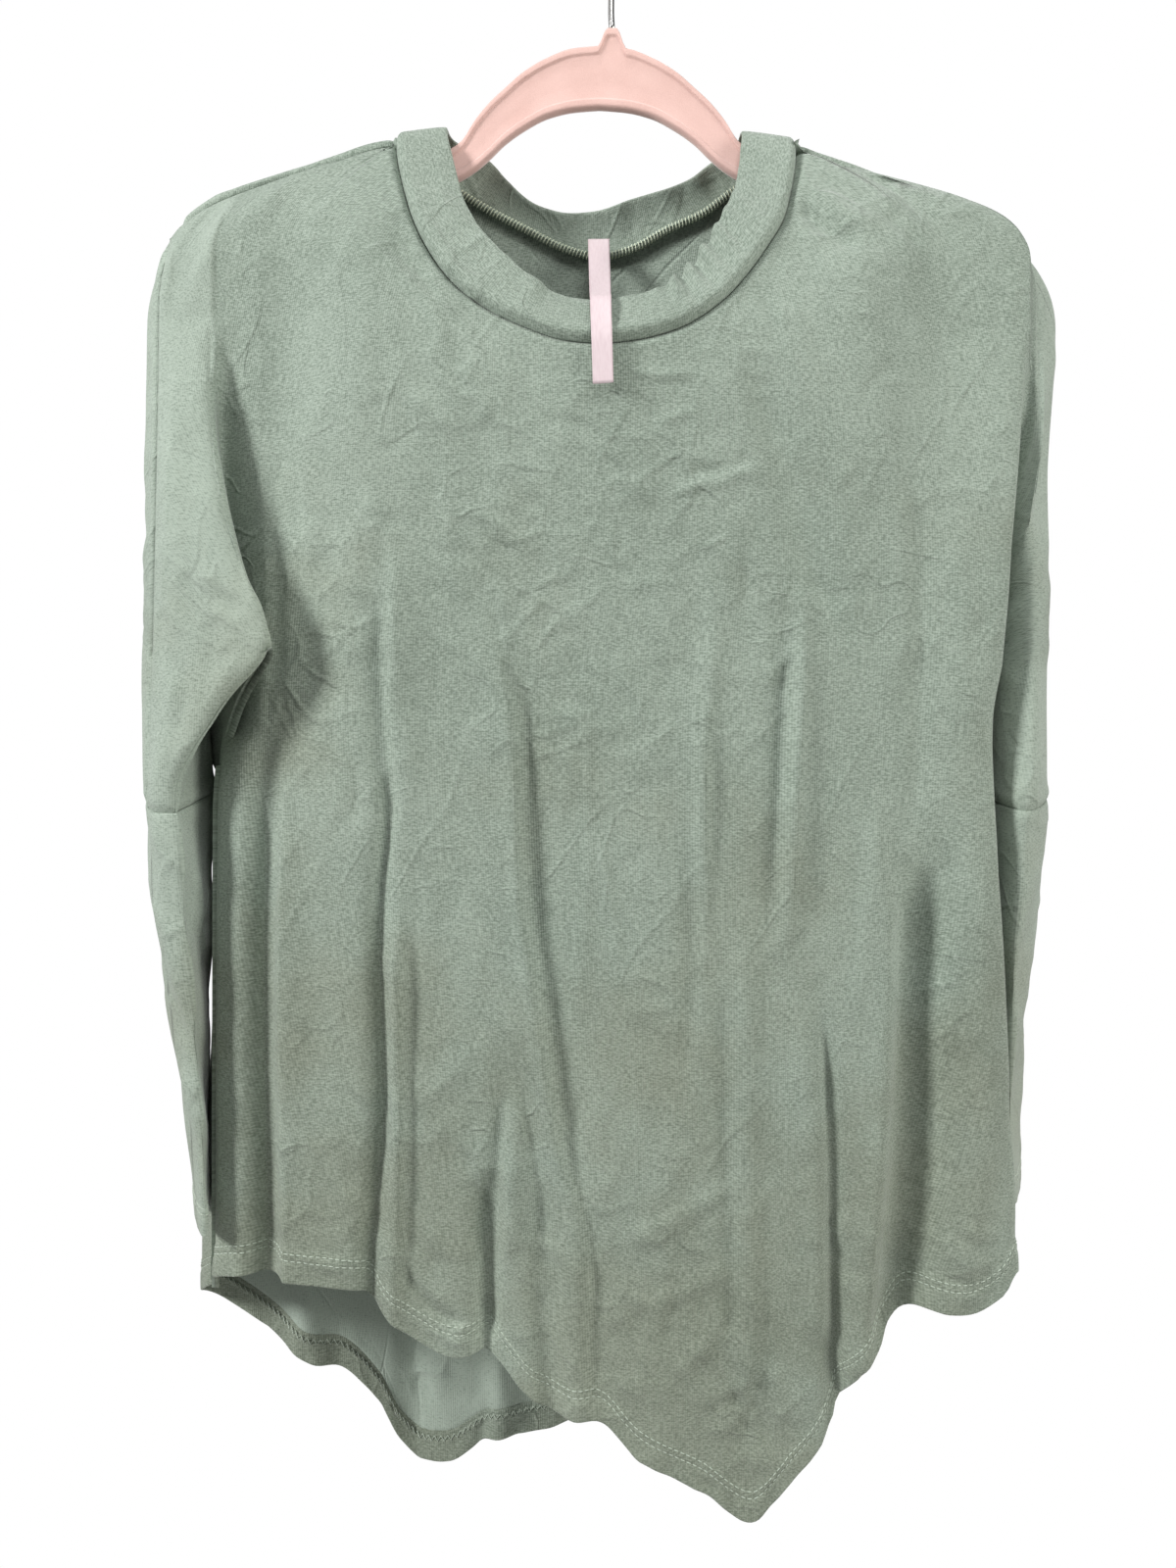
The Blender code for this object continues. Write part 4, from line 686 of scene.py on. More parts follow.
# ================================================================ sheets and meshes
class Sheet:
    """Points and faces of a cloth, gathered from grids that share edges."""

    pinched_rows: int = 3
    pinch_from: float = 0.55
    pinch_step: float = 0.16

    def __init__(self) -> None:
        """Starts an empty sheet."""
        self.points = np.zeros((0, 3))
        self.faces = np.zeros((0, 4), int)
        self.values: dict[str, Array] = {}

    def add(self, grid: Array, values: dict[str, Array], shared: Array | None = None,
            flip: bool = False, closed: bool = False) -> Array:
        """Adds a grid of points.

        Args:
            grid: points, rows by columns.
            values: what is known of each point, by name, in the grid's shape.
            shared: points that the first row already has.
            flip: True where the faces would look inwards.
            closed: True where the last column meets the first.

        Returns:
            The number of each point, in the grid's shape.
        """
        rows, columns = grid.shape[:2]
        index = np.zeros((rows, columns), int)
        start = 0
        if shared is not None:
            index[0], start = shared, 1
        index[start:] = len(self.points) + np.arange((rows - start) * columns).reshape(-1, columns)
        self.points = np.vstack([self.points, grid[start:].reshape(-1, 3)])
        for name, value in values.items():
            known, fresh = self.values.get(name, np.zeros(0)), np.broadcast_to(value, (rows, columns))
            self.values[name] = np.concatenate([known, fresh[start:].ravel()])
        ring = np.hstack([index, index[:, :1]]) if closed else index
        quads = np.stack([ring[:-1, :-1], ring[1:, :-1], ring[1:, 1:], ring[:-1, 1:]], axis=-1).reshape(-1, 4)
        self.faces = np.vstack([self.faces, quads[:, ::-1] if flip else quads])
        return index

    def normals(self) -> Array:
        """Outward direction at each point.

        Returns:
            A unit vector for each point.
        """
        corner = self.points[self.faces]
        face = np.cross(corner[:, 2] - corner[:, 0], corner[:, 3] - corner[:, 1])
        total = np.zeros_like(self.points)
        for axis in range(3):
            weight = np.repeat(face[:, axis], 4)
            total[:, axis] = np.bincount(self.faces.ravel(), weight, len(self.points))
        return unit(total)

    def raw_edges(self, leave: Array) -> Array:
        """Edges that have a face on one side only, apart from those with both ends in leave.

        Args:
            leave: numbers of the points to pass over.

        Returns:
            Pairs of point numbers.
        """
        edges = np.concatenate([self.faces[:, [k, (k + 1) % 4]] for k in range(4)])
        low, high = edges.min(axis=1), edges.max(axis=1)
        _, first, count = np.unique(low * len(self.points) + high, return_index=True, return_counts=True)
        raw = edges[first[count == 1]]
        return raw[~np.isin(raw, leave).all(axis=1)]

    def edge_distance(self, leave: Array) -> Array:
        """Distance of each point from the nearest raw edge, apart from those in leave."""
        return np.array(nearest(self.points, self.points[np.unique(self.raw_edges(leave))]))

    def flange(self, depth: float, leave: Array) -> None:
        """Turns the raw edges inwards as a seam allowance, apart from those in leave.

        Args:
            depth: of the allowance, metres.
            leave: numbers of the points to pass over.
        """
        raw = self.raw_edges(leave)
        ends = np.unique(raw)
        inner = np.full(len(self.points), -1)
        inner[ends] = len(self.points) + np.arange(len(ends))
        fresh = self.points[ends] - self.normals()[ends] * depth
        quads = np.stack([raw[:, 1], raw[:, 0], inner[raw[:, 0]], inner[raw[:, 1]]], axis=1)
        self.points = np.vstack([self.points, fresh])
        self.faces = np.vstack([self.faces, quads])
        for name, value in self.values.items():
            self.values[name] = np.concatenate([value, value[ends]])

    def turn_up(self, index: Array, depth_rows: int, radius: float, flip: bool, closed: bool = False) -> None:
        """Turns the sheet's last rows up inside it as a hem.

        Args:
            index: numbers of the rows' points, the hem's edge last.
            depth_rows: rows that the turned cloth reaches up.
            radius: of the fold at the edge, metres.
            flip: as for the grid it continues.
            closed: True where the last column meets the first.
        """
        normal = self.normals()
        edge, above = self.points[index[-1]], self.points[index[-2]]
        down = unit(edge - above)
        rows = []
        for angle in np.radians((45.0, 90.0, 135.0, 180.0)):
            inwards = normal[index[-1]] * radius * (1 - math.cos(angle))
            rows.append(edge + down * radius * math.sin(angle) - inwards)
        for k in range(2, depth_rows + 1):
            pinched = k - depth_rows + self.pinched_rows
            closing = 1.0 if pinched < 0 else self.pinch_from - self.pinch_step * pinched
            rows.append(self.points[index[-k]] - normal[index[-k]] * 2 * radius * closing)
        source = np.vstack([index[-1]] * 5 + [index[-k] for k in range(2, depth_rows + 1)])
        grid = np.concatenate([edge[None], np.array(rows)])
        values = {name: value[source] for name, value in self.values.items()}
        self.add(grid, values, shared=index[-1], flip=flip, closed=closed)

    def mesh(self, name: str) -> bpy.types.Mesh:
        """The sheet as a mesh that carries its place on the cloth on its points.

        Args:
            name: the mesh's name.

        Returns:
            The mesh.
        """
        made = mesh_from(name, self.points, self.faces)
        carry(made, **{key: self.values[key] for key in ("across", "down", "sleeve")})
        return made

    def area(self) -> float:
        """Area of the whole sheet.

        Returns:
            Square metres.
        """
        corner = self.points[self.faces]
        cross = np.cross(corner[:, 2] - corner[:, 0], corner[:, 3] - corner[:, 1])
        return float(np.linalg.norm(cross, axis=1).sum() / 2)


def mesh_from(name: str, points: Array, faces: Sequence) -> bpy.types.Mesh:
    """A smooth mesh from points and faces.

    Args:
        name: the mesh's name.
        points: its points.
        faces: point numbers round each face.

    Returns:
        The mesh.
    """
    mesh = bpy.data.meshes.new(name)
    mesh.from_pydata(np.asarray(points).tolist(), [], [list(map(int, f)) for f in faces])
    mesh.update()
    mesh.shade_smooth()
    return mesh


def carry(mesh: bpy.types.Mesh, **values: Array) -> None:
    """Puts numbers on a mesh's points, for its finish to read by name."""
    for name, value in values.items():
        mesh.attributes.new(name, "FLOAT", "POINT").data.foreach_set("value", value.astype(np.float32))


def skin(rings: Array, inward: bool = False) -> tuple[Array, list]:
    """A closed skin through rings of points, with both its ends filled.

    Args:
        rings: the rings' points, rings by points round each.
        inward: True where the rings run the other way round.

    Returns:
        Points and faces.
    """
    index = np.arange(rings.shape[0] * rings.shape[1]).reshape(rings.shape[:2])
    after = np.roll(index, -1, axis=1)
    sides = [index[:-1], after[:-1], after[1:], index[1:]]
    ends = [index[0][::-1], index[-1]]
    if inward:
        sides = [sides[0], sides[3], sides[2], sides[1]]
        ends = [end[::-1] for end in ends]
    faces = np.stack(sides, axis=-1).reshape(-1, 4).tolist()
    return rings.reshape(-1, 3), faces + [end.tolist() for end in ends]


def piece(name: str, mesh: bpy.types.Mesh, finish: bpy.types.Material) -> bpy.types.Object:
    """Puts a mesh in the scene as a piece that rides on the garment.

    Args:
        name: the piece's name.
        mesh: its shape.
        finish: its material.

    Returns:
        The new object.
    """
    obj = bpy.data.objects.new(name, mesh)
    bpy.context.scene.collection.objects.link(obj)
    mesh.materials.append(finish)
    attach(obj, "root")
    log.info("%s: %d faces", name, len(mesh.polygons))
    return obj


def tube(path: Array, radii: Array, sides: int, flat: float = 1.0) -> tuple[Array, list]:
    """A round skin along an open path.

    Args:
        path: its middle line.
        radii: radius at each of the path's points.
        sides: points round it.
        flat: height of the section as a share of its width.

    Returns:
        Points and faces.
    """
    run = unit(np.gradient(path, axis=0))
    frame_x = [unit(np.cross(run[0], (0.13, 1.0, 0.21)))]
    for k in range(1, len(path)):
        frame_x.append(unit(frame_x[-1] - run[k] * (frame_x[-1] @ run[k])))
    frame_x = np.array(frame_x)
    frame_y = np.cross(run, frame_x)
    turn = 2 * np.pi * np.arange(sides) / sides
    ring = frame_x[:, None] * np.cos(turn)[:, None] + frame_y[:, None] * flat * np.sin(turn)[:, None]
    return skin(path[:, None] + ring * radii[:, None, None])


def joined(parts: Sequence[tuple[Array, list]]) -> tuple[Array, list]:
    """Several skins as one.

    Args:
        parts: points and faces of each skin.

    Returns:
        Points and faces of them all.
    """
    points, faces, count = [], [], 0
    for some_points, some_faces in parts:
        points.append(some_points)
        faces += [[v + count for v in face] for face in some_faces]
        count += len(some_points)
    return np.vstack(points), faces


@dataclass(frozen=True)
class StitchRow:
    """A row of sewn stitches: each lies on the cloth and dips in at its ends."""

    length: float = 0.0026
    gap: float = 0.0007
    radius: float = 0.00030

    def skins(self, path: Array, normals: Array) -> tuple[Array, list]:
        """The row's stitches along a path.

        Args:
            path: points on the cloth.
            normals: the cloth's outward direction at each.

        Returns:
            Points and faces of all stitches.
        """
        run = run_along(path)
        middles = np.arange(self.length, run[-1] - self.length, self.length + self.gap)
        at, ahead = points_at(middles, run, path), points_at(middles + 1e-4, run, path)
        out = unit(points_at(middles, run, normals))
        tangent = unit(ahead - at)
        side = np.cross(tangent, out)
        turn = 2 * np.pi * np.arange(6) / 6
        rings = []
        for place, girth, lift in ((-1.0, 0.15, -0.9), (-0.72, 0.85, 0.1), (0.0, 1.0, 0.5),
                                   (0.72, 0.85, 0.1), (1.0, 0.15, -0.9)):
            centre = at + tangent * (place * self.length / 2) + out * (lift * self.radius)
            around = side[:, None] * np.cos(turn)[:, None] + out[:, None] * np.sin(turn)[:, None]
            rings.append(centre[:, None] + around * self.radius * girth)
        points = np.stack(rings, axis=1)
        index = np.arange(points.size // 3).reshape(points.shape[:3])
        after = np.roll(index, -1, axis=2)
        faces = np.stack([index[:, :-1], after[:, :-1], after[:, 1:], index[:, 1:]], axis=-1).reshape(-1, 4)
        return points.reshape(-1, 3), faces.tolist()


# ================================================================ plan of the panels
FINE = 6
OVER_COUNTS = tuple(FINE * n for n in (2, 3, 3, 2))
UNDER_COUNTS = tuple(FINE * n for n in (1, 2, 2, 1, 3, 3, 2, 2))
TIP_SPANS = 5
NECK_STEPS = 12
RIGHT_CORNER = (0.96, 0.60)
ARMPIT = (-0.406, -0.414)
ELBOW = (-0.479, -0.481)
ELBOW_SLANT = 0.009
CUFF = (-0.697, -0.690)
SHOULDER_ROUND = 0.0065
SEAM_ANGLE = 75.0
TURN_END = 80.0
HEM_LEVEL = -0.73
LEAD = 0.02
ARM_SPAN = 0.2
SLEEVE_DEPTH = 0.045
HEM_FOLD = 0.0006
SEAM_ALLOWANCE = 0.003
LEFT, RIGHT = -1, 1


def turned(points: Array, side: int) -> Array:
    """The right side repeats the left one, turned half way round the vertical."""
    return points * -side


def outer_seam(z: Array, side: int) -> Array:
    """Plan points of the seam along a sleeve's outer edge."""
    names = ("left_x", "left_y") if side < 0 else ("right_x", "right_y")
    return np.stack(table_at(OUTER_SEAM, z, *names), axis=-1)


def over_points(z: Array, side: int) -> list[Array]:
    """Plan points from the outer seam to the body, where the sleeve lies over the panel.

    Args:
        z: height of each row.
        side: LEFT or RIGHT.

    Returns:
        Plan points of each station, in order.
    """
    values = table_at(OVER, z, *Over._fields[1:])
    pairs = [np.stack(pair, axis=-1) for pair in zip(values[0::2], values[1::2])]
    return [outer_seam(z, side)] + [turned(p, side) for p in pairs]


def under_points(z: Array, side: int) -> list[Array]:
    """The same, where the sleeve lies behind the panel.

    Args:
        z: height of each row.
        side: LEFT or RIGHT.

    Returns:
        Plan points of each station, in order.
    """
    values = table_at(UNDER, z, *Under._fields[1:])
    if side > 0:
        grown = smooth((UNDER[0].z - z) / 0.08)
        values[2:4] = [v * (1 - (1 - share) * grown) for v, share in zip(values[2:4], RIGHT_CORNER)]
    else:
        edge = Under._fields.index("edge_x") - 1
        values[edge] = values[edge] - table_at(EDGE_OUT, z, "out")[0]
    pairs = [np.stack(pair, axis=-1) for pair in zip(values[0::2], values[1::2])]
    return [outer_seam(z, side)] + [turned(p, side) for p in pairs]


def underarm(z: Array, side: int) -> Array:
    """Plan points of the sleeve's seam under the arm, shared by both panels."""
    return (over_points(z, side)[2] + under_points(z, side)[TIP_SPANS]) / 2


def shoulder_z(x: Array) -> Array:
    """Height of the cloth's top outline."""
    return along(column(SHOULDER, "x"), column(SHOULDER, "z"), x)


def neck_loop() -> tuple[Array, Array]:
    """The band's sewn edge and folded edge, right round the neck.

    Returns:
        Points of the sewn edge, and points of the folded edge.
    """
    stations = NECK_FRONT + NECK_BACK
    loop = spline([np.array(row) for row in stations], (NECK_STEPS,) * len(stations), closed=True)
    return loop[:, :3], loop[:, 3:]


@dataclass
class Panel:
    """The front or the back, with the upper sleeves grown on and the hem turned up."""

    front: bool
    finish: bpy.types.Material
    thread: bpy.types.Material
    body_steps: int = 180
    yoke_rows: int = 110
    turn_rows: int = 20
    body_rows: int = 150
    hem_rows: int = 20
    hem_step: float = 0.001
    wing_rows: int = 32
    level_step: float = 0.0015
    lowest: float = -0.872
    highest: float = -0.105
    sleeve_ease: float = 0.042
    body_ease: float = 0.060
    crowding: float = 1.5
    row_crowding: float = 1.3
    turn_drop: float = 0.009
    corner_turn: float = 0.008
    fold_scale: float = 1.15
    seam_tuck: float = 0.0014
    seam_puff: float = 0.0005
    neck_tuck: float = 0.0022
    hem_lift: float = 0.0008
    hem_ripple: float = 0.0013
    needle_rows: tuple[float, float] = (0.0110, 0.0145)
    needle_dent: float = 0.0006
    needle_width: float = 0.0010
    hem_top: float = 0.017
    turned_rows: int = 17
    looper_depth: float = 0.0014
    looper_end: float = 0.002
    looper_pitch: float = 0.0019
    looper_radius: float = 0.00024
    seam_tuck_width: float = 0.0018
    seam_puff_at: float = 0.005
    seam_puff_width: float = 0.0026
    neck_tuck_width: float = 0.0032
    neck_reach: float = 0.13
    neck_low: float = -0.28
    corner_clear: float = 0.022
    corner_y: float = -0.004
    corner_flat: float = 0.003
    seam_ease: float = 0.012
    yoke_blend: float = 0.06
    body_blend: float = 0.05
    body_hold: float = 0.045
    wing_hold: float = 0.030
    seam_lead: float = 0.3
    wing_lead: tuple[float, float] = (0.004, 0.010)
    flat: tuple[float, float] = (0.86, 0.72)
    cut_area: float = 0.40
    sheet: Sheet = field(default_factory=Sheet)

    def __post_init__(self) -> None:
        """Works out the columns and reads the plan at every level."""
        self.over_side = LEFT if self.front else RIGHT
        self.counts = {s: OVER_COUNTS if s == self.over_side else UNDER_COUNTS for s in (LEFT, RIGHT)}
        self.edges = {s: sum(self.counts[s]) for s in (LEFT, RIGHT)}
        self.pinch = {s: sum(self.counts[s][: self.pinch_span(s)]) for s in (LEFT, RIGHT)}
        self.columns = self.edges[LEFT] + self.body_steps + self.edges[RIGHT] + 1
        self.levels = np.arange(self.lowest, self.highest, self.level_step)

    @property
    def name(self) -> str:
        """The panel's name."""
        return "front" if self.front else "back"

    def pinch_span(self, side: int) -> int:
        """Spans from the outer seam to the column where the armpit is."""
        return 2 if side == self.over_side else TIP_SPANS

    def side_points(self, z: Array, side: int) -> list[Array]:
        """Plan points of one side of this panel."""
        return over_points(z, side) if side == self.over_side else under_points(z, side)

    def across_body(self, left: Array, right: Array, z: Array, ease: float) -> Array:
        """Plan points of a whole row, from its two side curves.

        Args:
            left: curve of the left side, ending on the body.
            right: curve of the right side, starting on the body.
            z: height of each row.
            ease: length over which the body's face takes over from the sides.

        Returns:
            Plan points, rows by columns.
        """
        share = np.arange(1, self.body_steps) / self.body_steps
        x = left[:, -1:, 0] + (right[:, :1, 0] - left[:, -1:, 0]) * share
        middle = table_at(BODY, z, "front_y" if self.front else "back_y")[0][:, None]
        near_left = 1 - smooth((x - left[:, -1:, 0]) / ease)
        near_right = 1 - smooth((right[:, :1, 0] - x) / ease)
        y = middle + (left[:, -1:, 1] - middle) * near_left + (right[:, :1, 1] - middle) * near_right
        return np.concatenate([left, np.stack([x, y], axis=-1), right], axis=1)

    def section(self, z: Array) -> Array:
        """Rows of plan points across the whole panel, above the armpits.

        Args:
            z: height of each row.

        Returns:
            Plan points, rows by columns.
        """
        curves = {}
        for side in (LEFT, RIGHT):
            points = self.side_points(z, side)
            lead = points[-1] + np.array([-side * LEAD, 0.0])
            curves[side] = spline(points + [lead], self.counts[side] + (1,))[:, : self.edges[side] + 1]
        return self.across_body(curves[LEFT], curves[RIGHT][:, ::-1], z, self.yoke_blend)

    def low_section(self, z: Array) -> Array:
        """Rows of plan points across the body between its side seams.

        Args:
            z: height of each row.

        Returns:
            Plan points, rows by columns.
        """
        x, y = table_at(SIDE_SEAM, z, "x", "y")
        curves = {}
        for side in (LEFT, RIGHT):
            points = self.side_points(z, side)
            first = self.pinch_span(side)
            seam = turned(np.stack([x, y], axis=-1), side)
            lead_in = seam + self.seam_lead * (points[first - 1] - points[first])
            lead_out = points[-1] + np.array([-side * LEAD, 0.0])
            counts = (1,) + self.counts[side][first:] + (1,)
            curve = spline([lead_in, seam] + points[first + 1 :] + [lead_out], counts)
            curves[side] = curve[:, 1 : sum(counts)]
        return self.across_body(curves[LEFT], curves[RIGHT][:, ::-1], z, self.body_blend)

    def wing_section(self, z: Array, side: int) -> Array:
        """Rows of plan points across one sleeve part, from the outer seam to the underarm seam.

        Args:
            z: height of each row.
            side: LEFT or RIGHT.

        Returns:
            Plan points, rows by columns.
        """
        points = self.side_points(z, side)
        first = self.pinch_span(side)
        end = underarm(z, side)
        ahead, depth = self.wing_lead
        lead = end + np.array([ahead, depth if side == self.over_side else -depth]) * -side
        counts = self.counts[side][:first]
        return spline(points[:first] + [end, lead], counts + (1,))[:, : sum(counts) + 1]

    def read(self, table: Array, z: Array) -> Array:
        """Plan points of every column at its own height.

        Args:
            table: plan points for each of the levels.
            z: height of each point, rows by columns.

        Returns:
            Plan points, rows by columns.
        """
        at = np.clip((z - self.lowest) / self.level_step, 0, len(self.levels) - 1.001)
        i = at.astype(int)
        part = (at - i)[..., None]
        j = np.arange(table.shape[1])
        return table[i, j] * (1 - part) + table[i + 1, j] * part

    def top_edge(self) -> tuple[Array, Array]:
        """The panel's sewn upper edge, and how far each column turns over the hanger.

        Returns:
            Points of the edge, and a share from 0 to 1 for each column.
        """
        seam = neck_loop()[0]
        last = (len(NECK_FRONT) - 1) * NECK_STEPS
        neck = seam[: last + 1] if self.front else np.vstack([seam[last:], seam[:1]])[::-1]
        n_left, n_right = self.edges[LEFT] + 2 * FINE, self.edges[RIGHT] + 2 * FINE
        left_share, right_share = [np.linspace(0, 1, n + 1) ** self.crowding for n in (n_left, n_right)]
        left_x = SHOULDER[0].x + (NECK_FRONT[0].seam_x - SHOULDER[0].x) * left_share
        right_x = (SHOULDER[-1].x + (NECK_FRONT[-1].seam_x - SHOULDER[-1].x) * right_share)[::-1]
        length = run_along(neck)
        inner = self.columns - (n_left + 1) - (n_right + 1)
        at = np.linspace(0, length[-1], inner + 2)[1:-1]
        neck_points = np.stack([along(length, neck[:, k], at) for k in range(3)], axis=-1)
        slope = math.radians(SEAM_ANGLE)
        seam_y, drop = -SHOULDER_ROUND * math.sin(slope), SHOULDER_ROUND * (1 - math.cos(slope))
        shoulders = [np.stack([x, np.full(len(x), seam_y), shoulder_z(x) - drop], axis=-1)
                     for x in (left_x, right_x)]
        over = np.zeros(self.columns)
        if not self.front:
            over[: n_left + 1] = smooth((left_x - left_x[0]) / self.corner_turn)
            over[-n_right - 1 :] = smooth((right_x[-1] - right_x) / self.corner_turn)
        return np.vstack([shoulders[0], neck_points, shoulders[1]]), over[:, None]

    def turned_row(self, edge: Array, angle: float) -> Array:
        """The row that lies this far round the hanger's top, degrees from straight up.

        Args:
            edge: points of the panel's sewn edge.
            angle: how far round, degrees.

        Returns:
            Points of the row.
        """
        turn = math.radians(angle)
        y = np.full(len(edge), SHOULDER_ROUND * math.sin(turn))
        z = shoulder_z(edge[:, 0]) - SHOULDER_ROUND * (1 - math.cos(turn))
        return np.stack([edge[:, 0], y, z], axis=-1)

    def yoke(self) -> Array:
        """The panel down to the armpits; the back starts by turning over the hanger.

        Returns:
            Points, rows by columns.
        """
        edge, over = self.top_edge()
        anchor = edge + (self.turned_row(edge, TURN_END) - edge) * over
        ease = np.full(self.columns, self.body_ease)
        ease[: self.edges[LEFT]] = ease[-self.edges[RIGHT] :] = self.sleeve_ease
        table = self.section(self.levels)
        column_share = np.linspace(0.0, 1.0, self.columns)
        shift = (ARMPIT[1] - ARMPIT[0]) * smooth((column_share - 0.3) / 0.4)

        def hanging(z: Array) -> Array:
            """Points at heights z, drawn to the sewn edge near the top.

            Args:
                z: height of each point, rows by columns.

            Returns:
                Points, rows by columns.
            """
            plan = self.read(table, z - shift)
            hold = ((1 - np.clip((anchor[:, 2] - z) / ease, 0.0, 1.0)) ** 2)[..., None]
            return np.concatenate([plan + (anchor[:, :2] - plan) * hold, z[..., None]], axis=-1)

        start = np.zeros((0, self.columns, 3))
        top = edge[:, 2]
        if not self.front:
            turns = np.linspace(0.0, 1.0, self.turn_rows)
            rows = hanging(edge[:, 2] - self.turn_drop * turns[:, None])
            angles = -SEAM_ANGLE + (TURN_END + SEAM_ANGLE) * turns
            bent = np.array([self.turned_row(edge, angle) for angle in angles])
            start = rows + (bent - rows) * over
            top = start[-1][:, 2]
            start = start[:-1]
        share = ((np.arange(self.yoke_rows + 1) / self.yoke_rows) ** self.row_crowding)[:, None]
        place = np.clip((edge[:, 0] + ARM_SPAN) / (2 * ARM_SPAN), 0.0, 1.0)
        low = ARMPIT[0] + (ARMPIT[1] - ARMPIT[0]) * place
        rows = hanging(top + (low - top) * share)
        rows[0] = rows[0] + (anchor - rows[0]) * over if not self.front else edge
        return np.concatenate([start, rows])

    def body(self, first: Array) -> Array:
        """The body below the armpits, down to the hem's edge.

        Args:
            first: points of the row that it starts from.

        Returns:
            Points, rows by columns.
        """
        table = self.low_section(self.levels)
        target = self.low_section(np.array([HEM_LEVEL]))[0]
        hem = FRONT_HEM if self.front else BACK_HEM
        low = along(column(hem, "across"), column(hem, "z"), self.reach(target))
        hem_height = self.hem_rows * self.hem_step
        share = (np.arange(self.body_rows + 1) / self.body_rows)[:, None]
        down = first[:, 2] + (low + hem_height - first[:, 2]) * share
        last = low + hem_height * (1 - np.arange(1, self.hem_rows + 1) / self.hem_rows)[:, None]
        z = np.vstack([down, last])
        plan = self.read(table, z)
        hold = (1 - smooth((first[:, 2] - z) / self.body_hold))[..., None]
        plan = plan + (first[:, :2] - plan[0]) * hold
        return np.concatenate([plan, z[..., None]], axis=-1)

    def reach(self, row: Array) -> Array:
        """Distance across the cloth for each point of a row: x on the body, run on round its sides.

        Args:
            row: plan points of the row.

        Returns:
            A distance for each point.
        """
        run = run_along(row)
        left = self.edges[LEFT] - self.pinch[LEFT]
        right = left + self.body_steps
        out = row[:, 0].copy()
        out[:left] = row[left, 0] - (run[left] - run[:left])
        out[right:] = row[right, 0] + (run[right:] - run[right])
        return out

    def wing(self, first: Array, side: int) -> Array:
        """The sleeve part of the panel between armpit and elbow, outer seam first.

        Args:
            first: points of the row that it starts from.
            side: LEFT or RIGHT.

        Returns:
            Points, rows by columns.
        """
        tilt = ARMPIT[1] - ARMPIT[0] if side > 0 else 0.0
        elbow = ELBOW[0] if side < 0 else ELBOW[1]
        table = self.wing_section(self.levels, side)
        base = self.wing_section(np.array([elbow - tilt]), side)[0]
        share = (np.arange(self.wing_rows + 1) / self.wing_rows)[:, None]
        z = first[:, 2] + (elbow + ELBOW_SLANT * base[:, 1] / SLEEVE_DEPTH - first[:, 2]) * share
        plan = self.read(table, z - tilt)
        hold = (1 - smooth((first[:, 2] - z) / self.wing_hold))[..., None]
        plan = plan + (first[:, :2] - plan[0]) * hold
        return np.concatenate([plan, z[..., None]], axis=-1)

    def masks(self) -> tuple[Array, Array]:
        """For each column: 1 on the body's face, and 1 on the sleeves' outer faces.

        Returns:
            The body's mask, and the sleeves' mask.
        """
        on_body, on_sleeve = np.zeros(self.columns), np.zeros(self.columns)
        on_body[self.edges[LEFT] : self.columns - self.edges[RIGHT]] = 1.0
        for side in (LEFT, RIGHT):
            counts = self.counts[side]
            marks = np.concatenate([[0], np.cumsum(counts)])
            place = np.arange(marks[-1] + 1)
            if side == self.over_side:
                body = smooth((place - marks[3]) / counts[3])
                sleeve = 1 - smooth((place - marks[2]) / (counts[2] / 3))
            else:
                body = smooth((place - marks[6]) / counts[6])
                sleeve = 1 - smooth((place - marks[4]) / (counts[4] / 2))
            if side == LEFT:
                on_body[: len(place)], on_sleeve[: len(place)] = body, sleeve
            else:
                on_body[-len(place) :], on_sleeve[-len(place) :] = body[::-1], sleeve[::-1]
        return on_body, on_sleeve

    def build(self) -> dict[int, Array]:
        """Makes the panel.

        Returns:
            For each side, the sleeve part's lower edge, outer seam first.
        """
        yoke = self.yoke()
        on_body, on_sleeve = self.masks()
        middle = self.columns // 2
        left, right = self.pinch[LEFT], self.columns - 1 - self.pinch[RIGHT]

        def known(grid: Array, centre: int, body: Array, sleeve: Array) -> dict[str, Array]:
            """What each point of a grid is: its place on the cloth and its masks.

            Args:
                grid: points, rows by columns.
                centre: the column to measure across from.
                body: the body's mask.
                sleeve: the sleeves' mask.

            Returns:
                Values by name, in the grid's shape.
            """
            steps = np.linalg.norm(np.diff(grid, axis=1), axis=2)
            run = np.concatenate([np.zeros((len(grid), 1)), np.cumsum(steps, axis=1)], axis=1)
            across = run - run[:, centre : centre + 1]
            return {"across": across, "down": grid[..., 2], "body": body, "sleeve": sleeve}

        flip = not self.front
        body = self.body(yoke[-1][left : right + 1])
        index = self.sheet.add(yoke, known(yoke, middle, on_body, on_sleeve), flip=flip)
        body_index = self.sheet.add(body, known(body, middle - left, on_body[left : right + 1], 0.0),
                                    shared=index[-1][left : right + 1], flip=flip)
        wings, wing_indices = {}, {}
        for side in (LEFT, RIGHT):
            row = index[-1] if side == LEFT else index[-1][::-1]
            row = row[: self.pinch[side] + 1]
            wing = self.wing(self.sheet.points[row], side)
            values = known(wing, 0, 0.0, np.ones(len(row)))
            values["across"] = self.sheet.values["across"][row[0]] - side * values["across"]
            wing_indices[side] = self.sheet.add(wing, values, shared=row, flip=flip != (side == RIGHT))
            wings[side] = wing[-1]
        self.drape(body_index)
        self.stitch(body_index)
        self.sheet.turn_up(body_index, self.turned_rows, HEM_FOLD, flip)
        hem = np.arange(body_index[-1].min(), len(self.sheet.points))
        corner = np.flatnonzero(self.corner_distance() < self.corner_clear)
        self.sheet.flange(SEAM_ALLOWANCE, np.union1d(hem, corner))
        return wings

